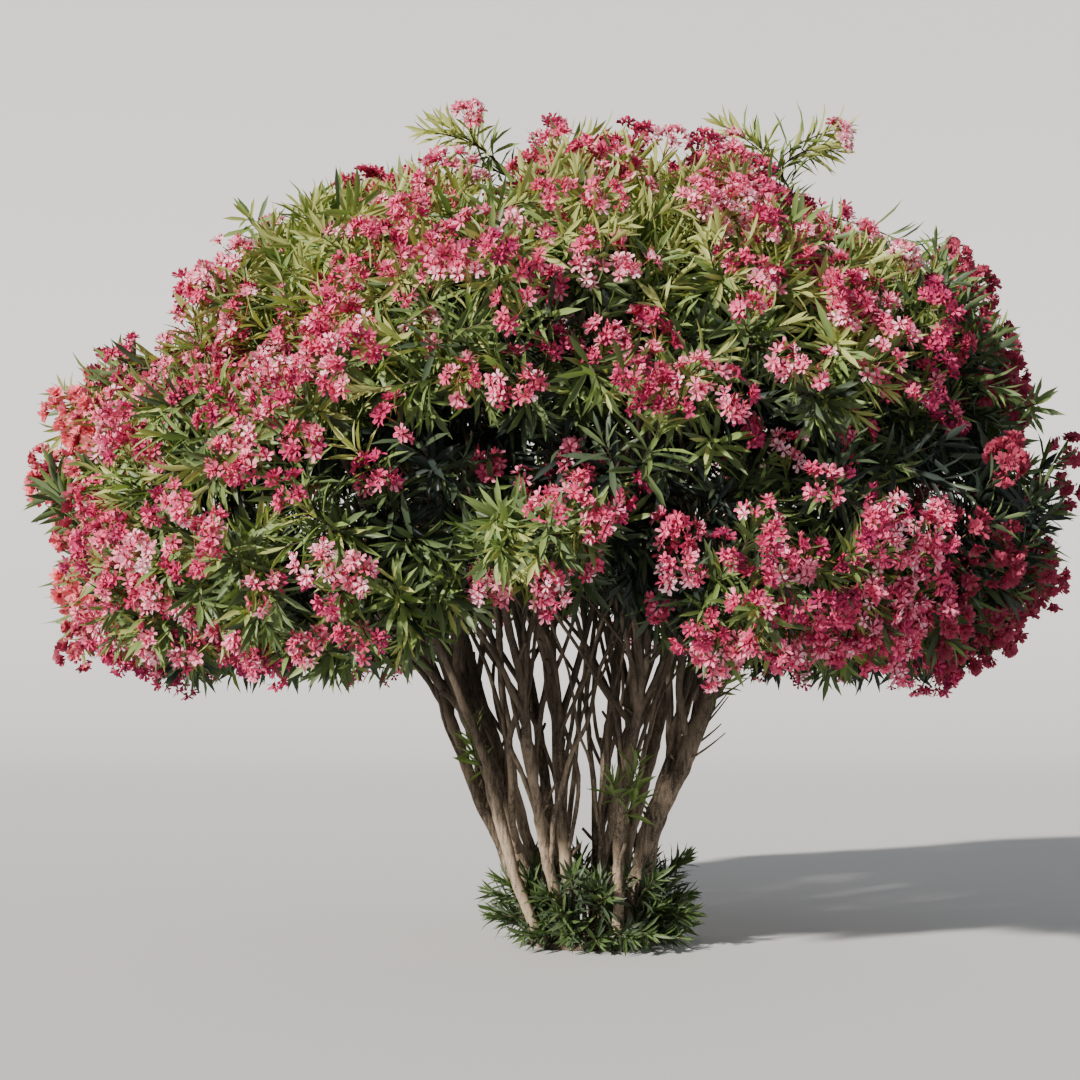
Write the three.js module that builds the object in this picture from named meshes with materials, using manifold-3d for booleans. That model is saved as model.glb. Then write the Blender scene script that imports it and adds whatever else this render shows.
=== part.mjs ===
import * as THREE from "three";
import { mergeVertices } from "three/addons/utils/BufferGeometryUtils.js";
import Module from "manifold-3d";

// An old oleander with many stems, rooted in the ground, in millimetres.
// +Z is up from the ground, -Y is the side that faces the viewer, +X is the viewer's right.
// The origin is under the middle of the root crown, on its flat cut at ground level.

const wasm = await Module();
wasm.setup();

// Crown: a dome above its widest level and a rounder skirt below it.
const CROWN_MIDDLE = new THREE.Vector3(-150, 0, 1650);
const CROWN_RADIUS = 1960;
const CROWN_TOP = 3200;
const SKIRT_LEVEL = 955;
const SIDE_STRETCH = 0.04; // wider from left to right than from front to back
const DOME_POWER = 2.3;
const SKIRT_POWER = 3;

// In front and behind, the skirt is lifted in an arch that shows the stems.
const ARCH_HEIGHT = 330;
const ARCHES = [
  { turn: 270, half: 16 },
  { turn: 90, half: 22 },
];

// Half sizes of the core in a mass of each tier, in degrees.
const skirtCore = { across: 18.4, along: 19 };
const shoulderCore = { across: 20.6, along: 14.4 };
const upperCore = { across: 17, along: 13 };
const topCore = { across: 18, along: 18 };

// Tiers of foliage masses, each a band between two angles of rise, split evenly round the crown.
const TIERS = [
  { name: "skirt", masses: 9, rise: -12, from: -50, to: 9, turn: 0, core: skirtCore },
  { name: "shoulder", masses: 8, rise: 24, from: 9, to: 40, turn: 22.5, core: shoulderCore },
  { name: "upper", masses: 6, rise: 52, from: 40, to: 68, turn: 0, core: upperCore },
  { name: "top", masses: 1, rise: 88, from: 68, to: 90, turn: 240, core: topCore },
];
const HUB_DEPTH = 0.5; // where a bough ends and its mass begins, as a share of the crown's reach
const HEART_DEPTH = 0.76; // where a mass's own stem ends
const TARGET_DEPTH = 0.92; // where its sprays end
const TARGET_SPREAD = 0.12;
const INNER_DEPTH = 0.44; // no spray reaches further in
const OUTER_DEPTH = 1.07; // and only a plume reaches further out
const SPACE_GAP = 14; // kept between the leaves of one mass and the edge of its space
const EDGE_SHARE = 0.82; // the part of a mass's width that its sprays aim at
const EDGE_RISE = 3;

// Single shoots that stand out of the dome, as tips.
const PLUMES = [
  [-640, -460, 3300],
  [200, -300, 3260],
  [630, -300, 3310],
  [1100, -200, 3355],
  [-2130, 0, 2310],
  [-2300, 0, 1850],
  [-2050, -100, 1100],
  [1530, -50, 2760],
  [1680, 0, 2630],
  [1985, 0, 1845],
  [1650, -60, 1200],
  [-300, 1250, 3060],
];

// Stems: eight outer ones that lead to the shoulder and six inner ones that lead to the upper tier.
// Each has its place at the ground, its place at the waist of the vase, and its radius.
const WAIST_LEVEL = 970;
const KNEE_LEVEL = 400;
const STEMS = {
  outer: [
    { foot: [165, 75], waist: [420, 235], girth: 25 },
    { foot: [95, 190], waist: [215, 540], girth: 31 },
    { foot: [-90, 205], waist: [-235, 530], girth: 28 },
    { foot: [-205, 50], waist: [-600, 110], girth: 29 },
    { foot: [-165, -75], waist: [-515, -160], girth: 46 },
    { foot: [-95, -195], waist: [-265, -480], girth: 24 },
    { foot: [105, -200], waist: [165, -525], girth: 23 },
    { foot: [130, -95], waist: [460, -205], girth: 50 },
  ],
  inner: [
    { foot: [95, -5], waist: [300, -20], girth: 32 },
    { foot: [35, 95], waist: [110, 255], girth: 26 },
    { foot: [-65, 95], waist: [-150, 235], girth: 28 },
    { foot: [-120, 0], waist: [-430, 10], girth: 25 },
    { foot: [-55, -115], waist: [-130, -260], girth: 27 },
    { foot: [5, -60], waist: [200, -180], girth: 19 },
  ],
};
const RING_TIERS = { outer: "shoulder", inner: "upper" };
const FORK_LEVELS = { skirt: 900, top: 860 };
const FORK_STEP = 170; // a stem's second fork lies this much higher
const STUB_LEVEL = 140; // where a stem leaves the root crown
const FLARE = 1.75; // girth at the ground beside the girth at the stub's end
const MOUND_RADIUS = 275;
const MOUND_SHOULDER = 200;
const MOUND_HEIGHT = 70;
const TIP_GIRTH = 0.42; // a stem's radius at its tip as a share of its radius at the foot
const BOUGH_GIRTH = 0.62; // a bough's radius as a share of its stem's radius at the fork
const STEM_BEND = 26; // how far a stem wanders from its smooth line
const STEM_SIDES = 7;
const STEM_STEPS = 7;
const BOUGH_SIDES = 6;
const BOUGH_STEPS = 3;
const JOINT_GAP = 0.4;

// Leaves stand for sprays, so they are larger than life.
const LEAF_LENGTH = 250;
const LEAF_WIDTH = 54;
const LEAF_SIZES = [1, 0.8, 0.64]; // tried in turn where a whole whorl would not fit
const LEAF_LEAN = 48; // degrees from the twig's own line
const LEAF_LIFT = 0.25; // how far a whorl turns up from its twig
const LEAF_REACH = 140; // from a whorl's middle to the tips of its leaves, along the twig
const WHORL_THICKNESS = 18;
const WHORL_HOLLOW = 15; // radius of the notch between two leaves
const TWIG_RADIUS = 10;
const TWIG_TIP = 6;
const TRUSS_RADIUS = 88;
const SPRAYS = 7; // of one mass
const CORE_DEEP = 0.15; // half of a core's depth, as a share of the crown's reach
const CORE_SQUARE = 0.55;
const CORE_LUMPS = 0.06;
const CORE_DETAIL = 2;

// Basal shoots that rise round the root crown.
const BASAL_SHOOTS = { count: 5, turn: 15, reach: 410, height: 215, leaf: 170 };

const radians = THREE.MathUtils.degToRad;
const degrees = THREE.MathUtils.radToDeg;
const UP = new THREE.Vector3(0, 0, 1);

// Repeatable draws from 0 to 1.
function drawsFrom(seed) {
  let state = seed;
  return () => {
    state = (state * 16807) % 2147483647;
    return (state - 1) / 2147483646;
  };
}

function headingOf(turn, rise) {
  const flat = Math.cos(radians(rise));
  return new THREE.Vector3(flat * Math.cos(radians(turn)), flat * Math.sin(radians(turn)), Math.sin(radians(rise)));
}

function turnBetween(a, b) {
  return Math.abs(((a - b + 540) % 360) - 180);
}

// How far the skirt hangs below the crown's middle, at a turn.
function skirtDrop(turn) {
  const open = ARCHES.map((arch) => Math.exp(-((turnBetween(turn, arch.turn) / arch.half) ** 4)));
  return CROWN_MIDDLE.z - SKIRT_LEVEL - ARCH_HEIGHT * Math.max(...open);
}

// A point of the crown: turn goes round it, rise goes from its skirt to its top, depth 1 is its surface.
function crownPoint(turn, rise, depth) {
  const below = rise < 0;
  const power = 2 / (below ? SKIRT_POWER : DOME_POWER);
  const height = below ? -skirtDrop(turn) : CROWN_TOP - CROWN_MIDDLE.z;
  const side = CROWN_RADIUS * (1 + SIDE_STRETCH * Math.cos(2 * radians(turn)));
  const across = side * Math.cos(radians(rise)) ** power;
  const up = height * Math.abs(Math.sin(radians(rise))) ** power;
  return new THREE.Vector3(across * Math.cos(radians(turn)), across * Math.sin(radians(turn)), up)
    .multiplyScalar(depth)
    .add(CROWN_MIDDLE);
}

// The turn, rise and depth of a point, and its distance from the crown's axis.
function placeInCrown(point) {
  const from = point.clone().sub(CROWN_MIDDLE);
  const turn = degrees(Math.atan2(from.y, from.x));
  const across = Math.hypot(from.x, from.y);
  const side = CROWN_RADIUS * (1 + SIDE_STRETCH * Math.cos(2 * radians(turn)));
  const below = from.z < 0;
  const n = below ? SKIRT_POWER : DOME_POWER;
  const height = below ? skirtDrop(turn) : CROWN_TOP - CROWN_MIDDLE.z;
  const up = Math.abs(from.z) / height;
  const out = across / side;
  const rise = degrees(Math.atan((up / Math.max(out, 1e-6)) ** (n / 2))) * (below ? -1 : 1);
  return { turn, rise, depth: (up ** n + out ** n) ** (1 / n), across, away: from.length() };
}

// True where a point is in a mass's space, with the gap to the next one kept.
function inMass(mass, point, outer = OUTER_DEPTH) {
  const at = placeInCrown(point);
  const half = 180 / mass.tier.masses;
  const turnGap = half < 180 ? degrees(SPACE_GAP / Math.max(at.across, SPACE_GAP)) : 0;
  const riseGap = degrees(SPACE_GAP / at.away);
  return (
    turnBetween(at.turn, mass.turn) < half - turnGap &&
    at.rise > mass.tier.from + (mass.tier.name === "skirt" ? -30 : riseGap) &&
    at.rise < mass.tier.to - riseGap + (mass.tier.name === "top" ? 1 + riseGap : 0) &&
    at.depth > INNER_DEPTH &&
    at.depth < outer
  );
}

// Solids

function solidOf(geometry) {
  const bare = geometry.clone();
  bare.deleteAttribute("normal");
  bare.deleteAttribute("uv");
  const merged = mergeVertices(bare, 1e-3);
  return new wasm.Manifold(
    new wasm.Mesh({
      numProp: 3,
      vertProperties: merged.attributes.position.array,
      triVerts: new Uint32Array(merged.index.array),
    }),
  );
}

function geometryOf(solid) {
  const mesh = solid.getMesh();
  const geometry = new THREE.BufferGeometry();
  geometry.setAttribute("position", new THREE.BufferAttribute(mesh.vertProperties, 3));
  geometry.setIndex(new THREE.BufferAttribute(mesh.triVerts, 1));
  geometry.computeVertexNormals();
  return geometry;
}

// A closed tube along a curve, made by bending a cylinder. radiusAt takes the share of the way along.
function limb(curve, radiusAt, sides, steps, from = 0, to = 1) {
  const geometry = new THREE.CylinderGeometry(1, 1, 1, sides, steps);
  const chord = curve.getPoint(1).sub(curve.getPoint(0)).normalize();
  const level = Math.abs(chord.y) < 0.7 ? new THREE.Vector3(0, 1, 0) : new THREE.Vector3(1, 0, 0);
  const rings = Array.from({ length: steps + 1 }, (_, i) => {
    const t = Math.min(from + ((to - from) * i) / steps, 1);
    const tangent = curve.getTangentAt(t);
    const across = level.clone().cross(tangent).normalize();
    return { t, centre: curve.getPointAt(t), across, over: tangent.clone().cross(across) };
  });
  const position = geometry.attributes.position;
  for (let i = 0; i < position.count; i++) {
    const ring = rings[Math.round((position.getY(i) + 0.5) * steps)];
    const radius = radiusAt(ring.t);
    const bent = ring.centre
      .clone()
      .addScaledVector(ring.across, -position.getZ(i) * radius)
      .addScaledVector(ring.over, -position.getX(i) * radius);
    position.setXYZ(i, bent.x, bent.y, bent.z);
  }
  return solidOf(geometry);
}

// The rotation that takes +Z to a direction.
function turnedTo(direction) {
  return new THREE.Quaternion().setFromUnitVectors(UP, direction.clone().normalize());
}

// Three leaves round a twig as one closed star, pointed along +Z before it is placed.
function whorl(place, direction, length, spin) {
  const top = [0, 0, WHORL_THICKNESS / 2];
  const bottom = [0, 0, -WHORL_THICKNESS / 2];
  const rim = [];
  const width = (LEAF_WIDTH * length) / LEAF_LENGTH;
  for (let leaf = 0; leaf < 3; leaf++) {
    const middle = radians(120 * leaf) + spin;
    const stations = [
      [-radians(60), WHORL_HOLLOW, 0],
      [-width / length, length * 0.42, 0.42],
      [0, length, 0.92],
      [width / length, length * 0.42, 0.42],
    ];
    for (const [swing, out, share] of stations) {
      const across = out * Math.cos(radians(90 - LEAF_LEAN));
      const up = share * length * Math.sin(radians(90 - LEAF_LEAN));
      rim.push([across * Math.cos(middle + swing), across * Math.sin(middle + swing), up]);
    }
  }
  const points = [top, bottom, ...rim];
  const index = rim.flatMap((_, i) => {
    const here = 2 + i;
    const next = 2 + ((i + 1) % rim.length);
    return [0, here, next, 1, next, here];
  });
  const geometry = new THREE.BufferGeometry();
  geometry.setAttribute("position", new THREE.Float32BufferAttribute(points.flat(), 3));
  geometry.setIndex(index);
  geometry.applyQuaternion(turnedTo(direction));
  geometry.translate(place.x, place.y, place.z);
  return solidOf(geometry);
}

// A truss of blossom: a lump of eight faces that covers the tip of its twig.
function truss(place, direction, draw) {
  const lumps = new THREE.OctahedronGeometry(TRUSS_RADIUS, 0);
  lumps.deleteAttribute("normal").deleteAttribute("uv");
  const geometry = mergeVertices(lumps, 1e-3);
  const position = geometry.attributes.position;
  for (let i = 0; i < position.count; i++) {
    const lump = 0.85 + 0.3 * draw();
    position.setXYZ(i, position.getX(i) * lump, position.getY(i) * lump, position.getZ(i) * lump);
  }
  const centre = place.clone().addScaledVector(direction, TRUSS_RADIUS * 0.5);
  geometry.applyQuaternion(turnedTo(direction)).translate(centre.x, centre.y, centre.z);
  return solidOf(geometry);
}

// Masses, in the order of their tiers

function massesOf(tier, first) {
  return Array.from({ length: tier.masses }, (_, i) => ({
    tier,
    name: tier.masses > 1 ? `${tier.name}_${i + 1}` : tier.name,
    turn: tier.turn + (360 / tier.masses) * i,
    seed: 71 + 37 * (first + i),
  }));
}

const masses = TIERS.reduce((made, tier) => [...made, ...massesOf(tier, made.length)], []);
for (const mass of masses) {
  mass.hub = crownPoint(mass.turn, mass.tier.rise, HUB_DEPTH);
  mass.heart = crownPoint(mass.turn, mass.tier.rise, HEART_DEPTH);
}

// Stems

function onRing(radius, turn, level) {
  return new THREE.Vector3(radius * Math.cos(radians(turn)), radius * Math.sin(radians(turn)), level);
}

// A stem's line rises from its foot, leans out to the waist of the vase and bends up to its hub.
function stemLine(row, hub, draw) {
  const bend = () => (draw() - 0.5) * 2 * STEM_BEND;
  const foot = new THREE.Vector3(...row.foot, 0);
  const waist = new THREE.Vector3(...row.waist, WAIST_LEVEL);
  const knee = foot.clone().lerp(waist, 0.36).setZ(KNEE_LEVEL);
  const high = waist.clone().lerp(hub, 0.5);
  for (const point of [knee, high]) {
    point.add(new THREE.Vector3(bend(), bend(), 0));
  }
  return new THREE.CatmullRomCurve3([foot, knee, waist, high, hub], false, "centripetal");
}

// The share of a line at which it first reaches a level.
function shareAt(line, level) {
  let low = 0;
  let high = 1;
  for (let i = 0; i < 40; i++) {
    const middle = (low + high) / 2;
    if (line.getPointAt(middle).z < level) low = middle;
    else high = middle;
  }
  return low;
}

function stemOf(ring, row, i) {
  const mass = masses.filter(({ tier }) => tier.name === RING_TIERS[ring])[i];
  const line = stemLine(row, mass.hub, drawsFrom(501 + 7 * i + ring.length));
  const stub = shareAt(line, STUB_LEVEL);
  const radiusAt = (t) => {
    if (t >= stub) return row.girth * (1 - ((1 - TIP_GIRTH) * (t - stub)) / (1 - stub));
    return row.girth * (1 + (FLARE - 1) * (1 - t / stub) ** 2);
  };
  const start = stub + JOINT_GAP / line.getLength();
  const solid = limb(line, radiusAt, STEM_SIDES, STEM_STEPS, start, 1);
  mass.entry = { radius: radiusAt(1), direction: line.getTangentAt(1) };
  return { name: `stem_${ring}_${i + 1}`, ring, line, stub, radiusAt, mass, solid };
}

const stems = Object.entries(STEMS).flatMap(([ring, rows]) => rows.map((row, i) => stemOf(ring, row, i)));

// Root crown: every stem's flared foot and a low mound, fused and cut flat at the ground.
// It is made again a little larger, to cut back what grows beside it.
function rootCrown(spare = 0) {
  const above = new THREE.BoxGeometry(2000, 2000, 1000).translate(0, 0, 500);
  const bottom = MOUND_RADIUS + spare;
  const height = MOUND_HEIGHT + spare;
  const mound = new THREE.CylinderGeometry(MOUND_SHOULDER + spare, bottom, height, 12);
  mound.rotateX(Math.PI / 2).translate(0, 0, height / 2);
  const feet = stems.map((stem) => {
    const start = stem.line.getPointAt(0);
    const lean = stem.line.getTangentAt(0);
    const below = start.clone().addScaledVector(lean, -60);
    const stub = Array.from({ length: 4 }, (_, i) => stem.line.getPointAt((stem.stub * i) / 3));
    const line = new THREE.CatmullRomCurve3([below, ...stub], false, "centripetal");
    const sunk = 60 / line.getLength();
    const radiusAt = (t) => spare + stem.radiusAt((stem.stub * Math.max(t - sunk, 0)) / (1 - sunk));
    return limb(line, radiusAt, STEM_SIDES, 3);
  });
  return wasm.Manifold.union([solidOf(mound), ...feet]).intersect(solidOf(above));
}

// Boughs fork from the stem whose turn is nearest and end at their mass's hub.
function boughTo(mass, draw) {
  const ring = mass.tier.name === "skirt" ? "outer" : "inner";
  const level = FORK_LEVELS[mass.tier.name];
  const stem = stems
    .filter((s) => s.ring === ring)
    .sort((a, b) => turnBetween(a.mass.turn, mass.turn) - turnBetween(b.mass.turn, mass.turn))
    .find((s) => (s.forks ?? 0) < (ring === "outer" ? 2 : 1));
  stem.forks = (stem.forks ?? 0) + 1;
  const at = shareAt(stem.line, level + (stem.forks - 1) * FORK_STEP);
  const start = stem.line.getPointAt(at);
  const radius = stem.radiusAt(at) * BOUGH_GIRTH;
  const ahead = start.clone().addScaledVector(stem.line.getTangentAt(at), 160);
  const knee = ahead.lerp(mass.hub, 0.35 + 0.1 * draw());
  const line = new THREE.QuadraticBezierCurve3(start, knee, mass.hub);
  const cut = limb(stem.line, (t) => stem.radiusAt(t) + JOINT_GAP, STEM_SIDES, STEM_STEPS, stem.stub);
  const taper = (t) => radius * (1 - 0.35 * t);
  mass.entry = { radius: taper(1), direction: line.getTangentAt(1) };
  const solid = limb(line, taper, BOUGH_SIDES, BOUGH_STEPS).subtract(cut);
  return { name: `bough_${mass.name}`, line, radiusAt: taper, solid };
}

const forked = masses.filter((mass) => mass.tier.name in FORK_LEVELS);
const boughs = forked.map((mass) => boughTo(mass, drawsFrom(mass.seed)));
const limbs = [...stems, ...boughs];

// Foliage

// The k-th target on a mass's part of the crown. They spread evenly, however many are taken.
function targetOf(mass, k, draw) {
  const across = (0.5 + 0.7548776662 * k) % 1;
  const along = (0.5 + 0.569840291 * k) % 1;
  const turn = mass.turn + (across - 0.5) * (EDGE_SHARE * 360) / mass.tier.masses;
  const low = Math.sin(radians(mass.tier.from + EDGE_RISE));
  const high = Math.sin(radians(mass.tier.to - (mass.tier.to < 90 ? EDGE_RISE : 0)));
  const rise = degrees(Math.asin(low + (high - low) * along));
  return crownPoint(turn, rise, TARGET_DEPTH + TARGET_SPREAD * draw());
}

// The earlier point that a new twig leaves from: the nearest of those that lie further in.
function parentOf(points, target) {
  const depth = placeInCrown(target).depth - 0.08;
  const inner = points.filter((point) => placeInCrown(point).depth < depth);
  const from = inner.length > 0 ? inner : points.slice(0, 1);
  return from.reduce((best, p) => (p.distanceTo(target) < best.distanceTo(target) ? p : best));
}

// True where a solid keeps to its own space and clear of every limb.
function fits(holds, solid) {
  const { vertProperties } = solid.getMesh();
  for (let i = 0; i < vertProperties.length; i += 3) {
    if (!holds(new THREE.Vector3(...vertProperties.slice(i, i + 3)))) return false;
  }
  return limbs.every((other) => solid.minGap(other.solid, 4) > 1);
}

// A twig that ends in a whorl or, where it flowers, in a truss. Null where it would not fit.
function spray(mass, start, end, flowers, outer, draw) {
  const direction = end.clone().sub(start).normalize();
  const lifted = direction.clone().addScaledVector(UP, LEAF_LIFT).normalize();
  const taper = (t) => TWIG_RADIUS + (TWIG_TIP - TWIG_RADIUS) * t;
  const twig = limb(new THREE.LineCurve3(start, end), taper, 3, 1);
  const spin = draw() * 2;
  const heads = flowers
    ? [truss(end, direction, draw)]
    : LEAF_SIZES.map((size) => whorl(end, lifted, LEAF_LENGTH * size, spin));
  const holds = (point) => inMass(mass, point, outer);
  const head = heads.find((solid) => fits(holds, solid));
  return head && fits(holds, twig) ? twig.add(head) : null;
}

// A smaller lumpy body inside a dense mass, that its twigs and leaves stand out of. A ball is
// squared off a little and laid along the crown, and it shrinks until it keeps to its space.
function core(mass, draw) {
  const { across, along } = mass.tier.core;
  const heading = headingOf(mass.turn, mass.tier.rise);
  const side = headingOf(mass.turn + 90, 0);
  const over = heading.clone().cross(side);
  const ball = new THREE.OctahedronGeometry(1, CORE_DETAIL);
  ball.deleteAttribute("normal").deleteAttribute("uv");
  const round = mergeVertices(ball, 1e-3);
  const corners = Array.from({ length: round.attributes.position.count }, (_, i) => {
    const corner = new THREE.Vector3().fromBufferAttribute(round.attributes.position, i);
    const square = corner.toArray().map((v) => Math.sign(v) * Math.abs(v) ** CORE_SQUARE);
    return new THREE.Vector3(...square).multiplyScalar(1 + CORE_LUMPS * (2 * draw() - 1));
  });
  for (const size of [1, 0.93, 0.86, 0.8, 0.74, 0.68]) {
    const geometry = round.clone();
    corners.forEach((corner, i) => {
      const toward = heading
        .clone()
        .addScaledVector(side, Math.tan(radians(across)) * size * corner.x)
        .addScaledVector(over, Math.tan(radians(along)) * size * corner.y)
        .normalize();
      const turn = degrees(Math.atan2(toward.y, toward.x));
      const rise = degrees(Math.asin(toward.z));
      const point = crownPoint(turn, rise, HEART_DEPTH + CORE_DEEP * size * corner.z);
      geometry.attributes.position.setXYZ(i, point.x, point.y, point.z);
    });
    const solid = solidOf(geometry);
    if (fits((point) => inMass(mass, point), solid)) return solid;
  }
  return null;
}

function foliage(mass) {
  const draw = drawsFrom(mass.seed);
  const { radius, direction } = mass.entry;
  const start = mass.hub.clone().addScaledVector(direction, JOINT_GAP);
  const knee = start.clone().addScaledVector(direction, 0.4 * start.distanceTo(mass.heart));
  const line = new THREE.QuadraticBezierCurve3(start, knee, mass.heart);
  const stem = limb(line, (t) => radius * (1 - 0.3 * t), 5, 2);
  const parts = [stem, core(mass, draw)];
  const points = [0.35, 0.7, 1].map((share) => line.getPointAt(share));
  const plumes = PLUMES.map((tip) => new THREE.Vector3(...tip)).filter((tip) => inMass(mass, tip, 2));
  const targets = Array.from({ length: SPRAYS }, (_, k) => targetOf(mass, k + 1, draw));
  for (const [k, target] of [...plumes, ...targets].entries()) {
    const from = parentOf(points, target);
    const end = from.clone().lerp(target, 1 - LEAF_REACH / from.distanceTo(target));
    const outer = k < plumes.length ? 2 : OUTER_DEPTH;
    const made = spray(mass, from, end, k % 2 === 0, outer, draw);
    if (!made) continue;
    parts.push(made);
    points.push(from.clone().lerp(end, 0.45));
  }
  return wasm.Manifold.union(parts.filter(Boolean));
}

// Basal shoots: three leafy shoots from one short stem that meets the root crown.
function basalShoots(i, cut) {
  const draw = drawsFrom(907 + 13 * i);
  const turn = BASAL_SHOOTS.turn + (360 / BASAL_SHOOTS.count) * i;
  const holds = ({ x, y, z }) =>
    z > SPACE_GAP && turnBetween(degrees(Math.atan2(y, x)), turn) < 180 / BASAL_SHOOTS.count - 1;
  const start = onRing(MOUND_RADIUS * 0.9, turn, 40);
  const fork = onRing(MOUND_RADIUS + 70, turn, 95);
  const parts = [limb(new THREE.LineCurve3(start, fork), () => 12, 5, 1)];
  for (const swing of [-16, 0, 16]) {
    const height = BASAL_SHOOTS.height * (0.7 + 0.3 * draw());
    const tip = onRing(BASAL_SHOOTS.reach + 60 * draw(), turn + swing, height);
    const along = tip.clone().sub(fork).normalize();
    const shoot = limb(new THREE.LineCurve3(fork, tip), (t) => 8 - 3 * t, 3, 1);
    const spin = draw() * 2;
    const heads = LEAF_SIZES.map((size) => whorl(tip, along, BASAL_SHOOTS.leaf * size, spin));
    const head = heads.find((solid) => fits(holds, solid));
    if (head) parts.push(shoot, head);
  }
  return wasm.Manifold.union(parts).subtract(cut);
}

// Assembly

const BARK = new THREE.MeshStandardMaterial({ color: 0x6b5d50, roughness: 0.85, metalness: 0 });
const YOUNG_BARK = new THREE.MeshStandardMaterial({ color: 0x75684f, roughness: 0.8, metalness: 0 });
const LEAF = new THREE.MeshStandardMaterial({ color: 0x4c6b2e, roughness: 0.5, metalness: 0 });

const plant = new THREE.Group();

function add(name, solid, material) {
  const mesh = new THREE.Mesh(geometryOf(solid), material);
  mesh.name = name;
  plant.add(mesh);
}

const crown = rootCrown();
add("root_crown", crown, BARK);
for (const stem of stems) add(stem.name, stem.solid, BARK);
for (const bough of boughs) add(bough.name, bough.solid, YOUNG_BARK);
for (const mass of masses) add(`foliage_${mass.name}`, foliage(mass), LEAF);
const cut = rootCrown(JOINT_GAP);
for (let i = 0; i < BASAL_SHOOTS.count; i++) add(`basal_shoots_${i + 1}`, basalShoots(i, cut), LEAF);

export default plant;
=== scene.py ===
# %% [markdown]
# # An old oleander in flower
#
# The plant is a clump of bare, leaning stems under one wide dome of narrow leaves and pink
# blossom. The CAD frame holds its true sizes: where each stem stands, how far the crown reaches
# and which mass of foliage belongs to which stem. This script dresses that frame. It grows the
# same stems, boughs and twigs again by the same rule, carries them on to finer twigs, and hangs
# real leaves, flowers and bark on them.

# %% The frame
import math

import bpy
import numpy as np
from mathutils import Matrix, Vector, noise


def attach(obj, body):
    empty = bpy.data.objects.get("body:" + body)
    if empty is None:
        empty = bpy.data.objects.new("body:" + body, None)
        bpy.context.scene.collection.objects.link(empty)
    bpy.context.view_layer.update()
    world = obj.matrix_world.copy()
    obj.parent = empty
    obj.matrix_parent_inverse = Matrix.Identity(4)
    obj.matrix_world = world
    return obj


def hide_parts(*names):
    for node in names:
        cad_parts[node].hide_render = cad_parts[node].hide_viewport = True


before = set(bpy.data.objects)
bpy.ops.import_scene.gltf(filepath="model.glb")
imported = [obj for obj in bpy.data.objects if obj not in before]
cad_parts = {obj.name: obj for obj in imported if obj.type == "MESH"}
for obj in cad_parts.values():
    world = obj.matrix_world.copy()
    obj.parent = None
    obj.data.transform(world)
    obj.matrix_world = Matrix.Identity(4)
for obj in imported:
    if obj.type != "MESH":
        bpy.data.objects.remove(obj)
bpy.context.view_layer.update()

# %% [markdown]
# ## The camera
#
# The photo was taken from standing height on lower ground, about 8 m away. Its horizon lies a
# little under the middle of the picture, so the camera is level with the upper stems and looks
# up slightly. A camera in Blender looks along its own -Z, so 90 degrees about X makes it level.

# %% The camera
HORIZON = 677  # pixels from the top of the 1080 pixel frame
PICTURE = 1080
FOCAL = 1962  # focal length in pixels of that frame
EYE = (-0.205, -8.0, 1.065)


def add_object(name, data):
    """A new object that stands in the scene."""
    thing = bpy.data.objects.new(name, data)
    bpy.context.collection.objects.link(thing)
    return thing


camera = add_object("camera", bpy.data.cameras.new("camera"))
camera.location = EYE
camera.rotation_euler = (math.radians(90) + math.atan((HORIZON - PICTURE / 2) / FOCAL), 0, 0)
camera.data.sensor_width = 36  # mm
camera.data.lens = FOCAL / PICTURE * camera.data.sensor_width
bpy.context.scene.camera = camera
print("lens", round(camera.data.lens, 1), "mm")

# %% [markdown]
# ## The crown's own coordinates
#
# Everything that grows has to know where it is in the crown. A point is given by its turn round
# the crown, its rise from the skirt to the top, and its depth, which is 1 on the surface. These
# two functions and their sizes are the same as in the CAD source, but in metres.


# %% The crown's own coordinates
CROWN_MIDDLE = np.array([-0.150, 0, 1.650])
CROWN_RADIUS = 1.960
CROWN_TOP = 3.200
SKIRT_LEVEL = 0.955
SIDE_STRETCH = 0.04
DOME_POWER = 2.3
SKIRT_POWER = 3
ARCH_HEIGHT = 0.330  # in front and behind, the skirt is lifted in an arch that shows the stems
ARCHES = [(270, 16), (90, 22)]  # turn and half width in degrees


def turn_between(a, b):
    return np.abs((a - b + 540) % 360 - 180)


def skirt_drop(turn):
    """How far the skirt hangs below the crown's middle."""
    open_here = [np.exp(-((turn_between(turn, middle) / half) ** 4)) for middle, half in ARCHES]
    return CROWN_MIDDLE[2] - SKIRT_LEVEL - ARCH_HEIGHT * np.maximum(*open_here)


def crown_point(turn, rise, depth):
    """The place at a turn and rise in degrees, and a depth from 0 in the middle to 1."""
    power = 2 / (SKIRT_POWER if rise < 0 else DOME_POWER)
    height = -skirt_drop(turn) if rise < 0 else CROWN_TOP - CROWN_MIDDLE[2]
    turn, rise = math.radians(turn), math.radians(rise)
    across = CROWN_RADIUS * (1 + SIDE_STRETCH * math.cos(2 * turn)) * math.cos(rise) ** power
    up = height * abs(math.sin(rise)) ** power
    return CROWN_MIDDLE + depth * np.array([across * math.cos(turn), across * math.sin(turn), up])


def depth_of(points):
    """How deep in the crown each point lies."""
    away = points - CROWN_MIDDLE
    turn = np.arctan2(away[:, 1], away[:, 0])
    out = np.hypot(away[:, 0], away[:, 1]) / (CROWN_RADIUS * (1 + SIDE_STRETCH * np.cos(2 * turn)))
    below = away[:, 2] < 0
    height = np.where(below, skirt_drop(np.degrees(turn)), CROWN_TOP - CROWN_MIDDLE[2])
    n = np.where(below, SKIRT_POWER, DOME_POWER)
    return ((np.abs(away[:, 2]) / height) ** n + out**n) ** (1 / n)


print("crown reaches", [round(float(v), 2) for v in crown_point(0, 0, 1)])

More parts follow.
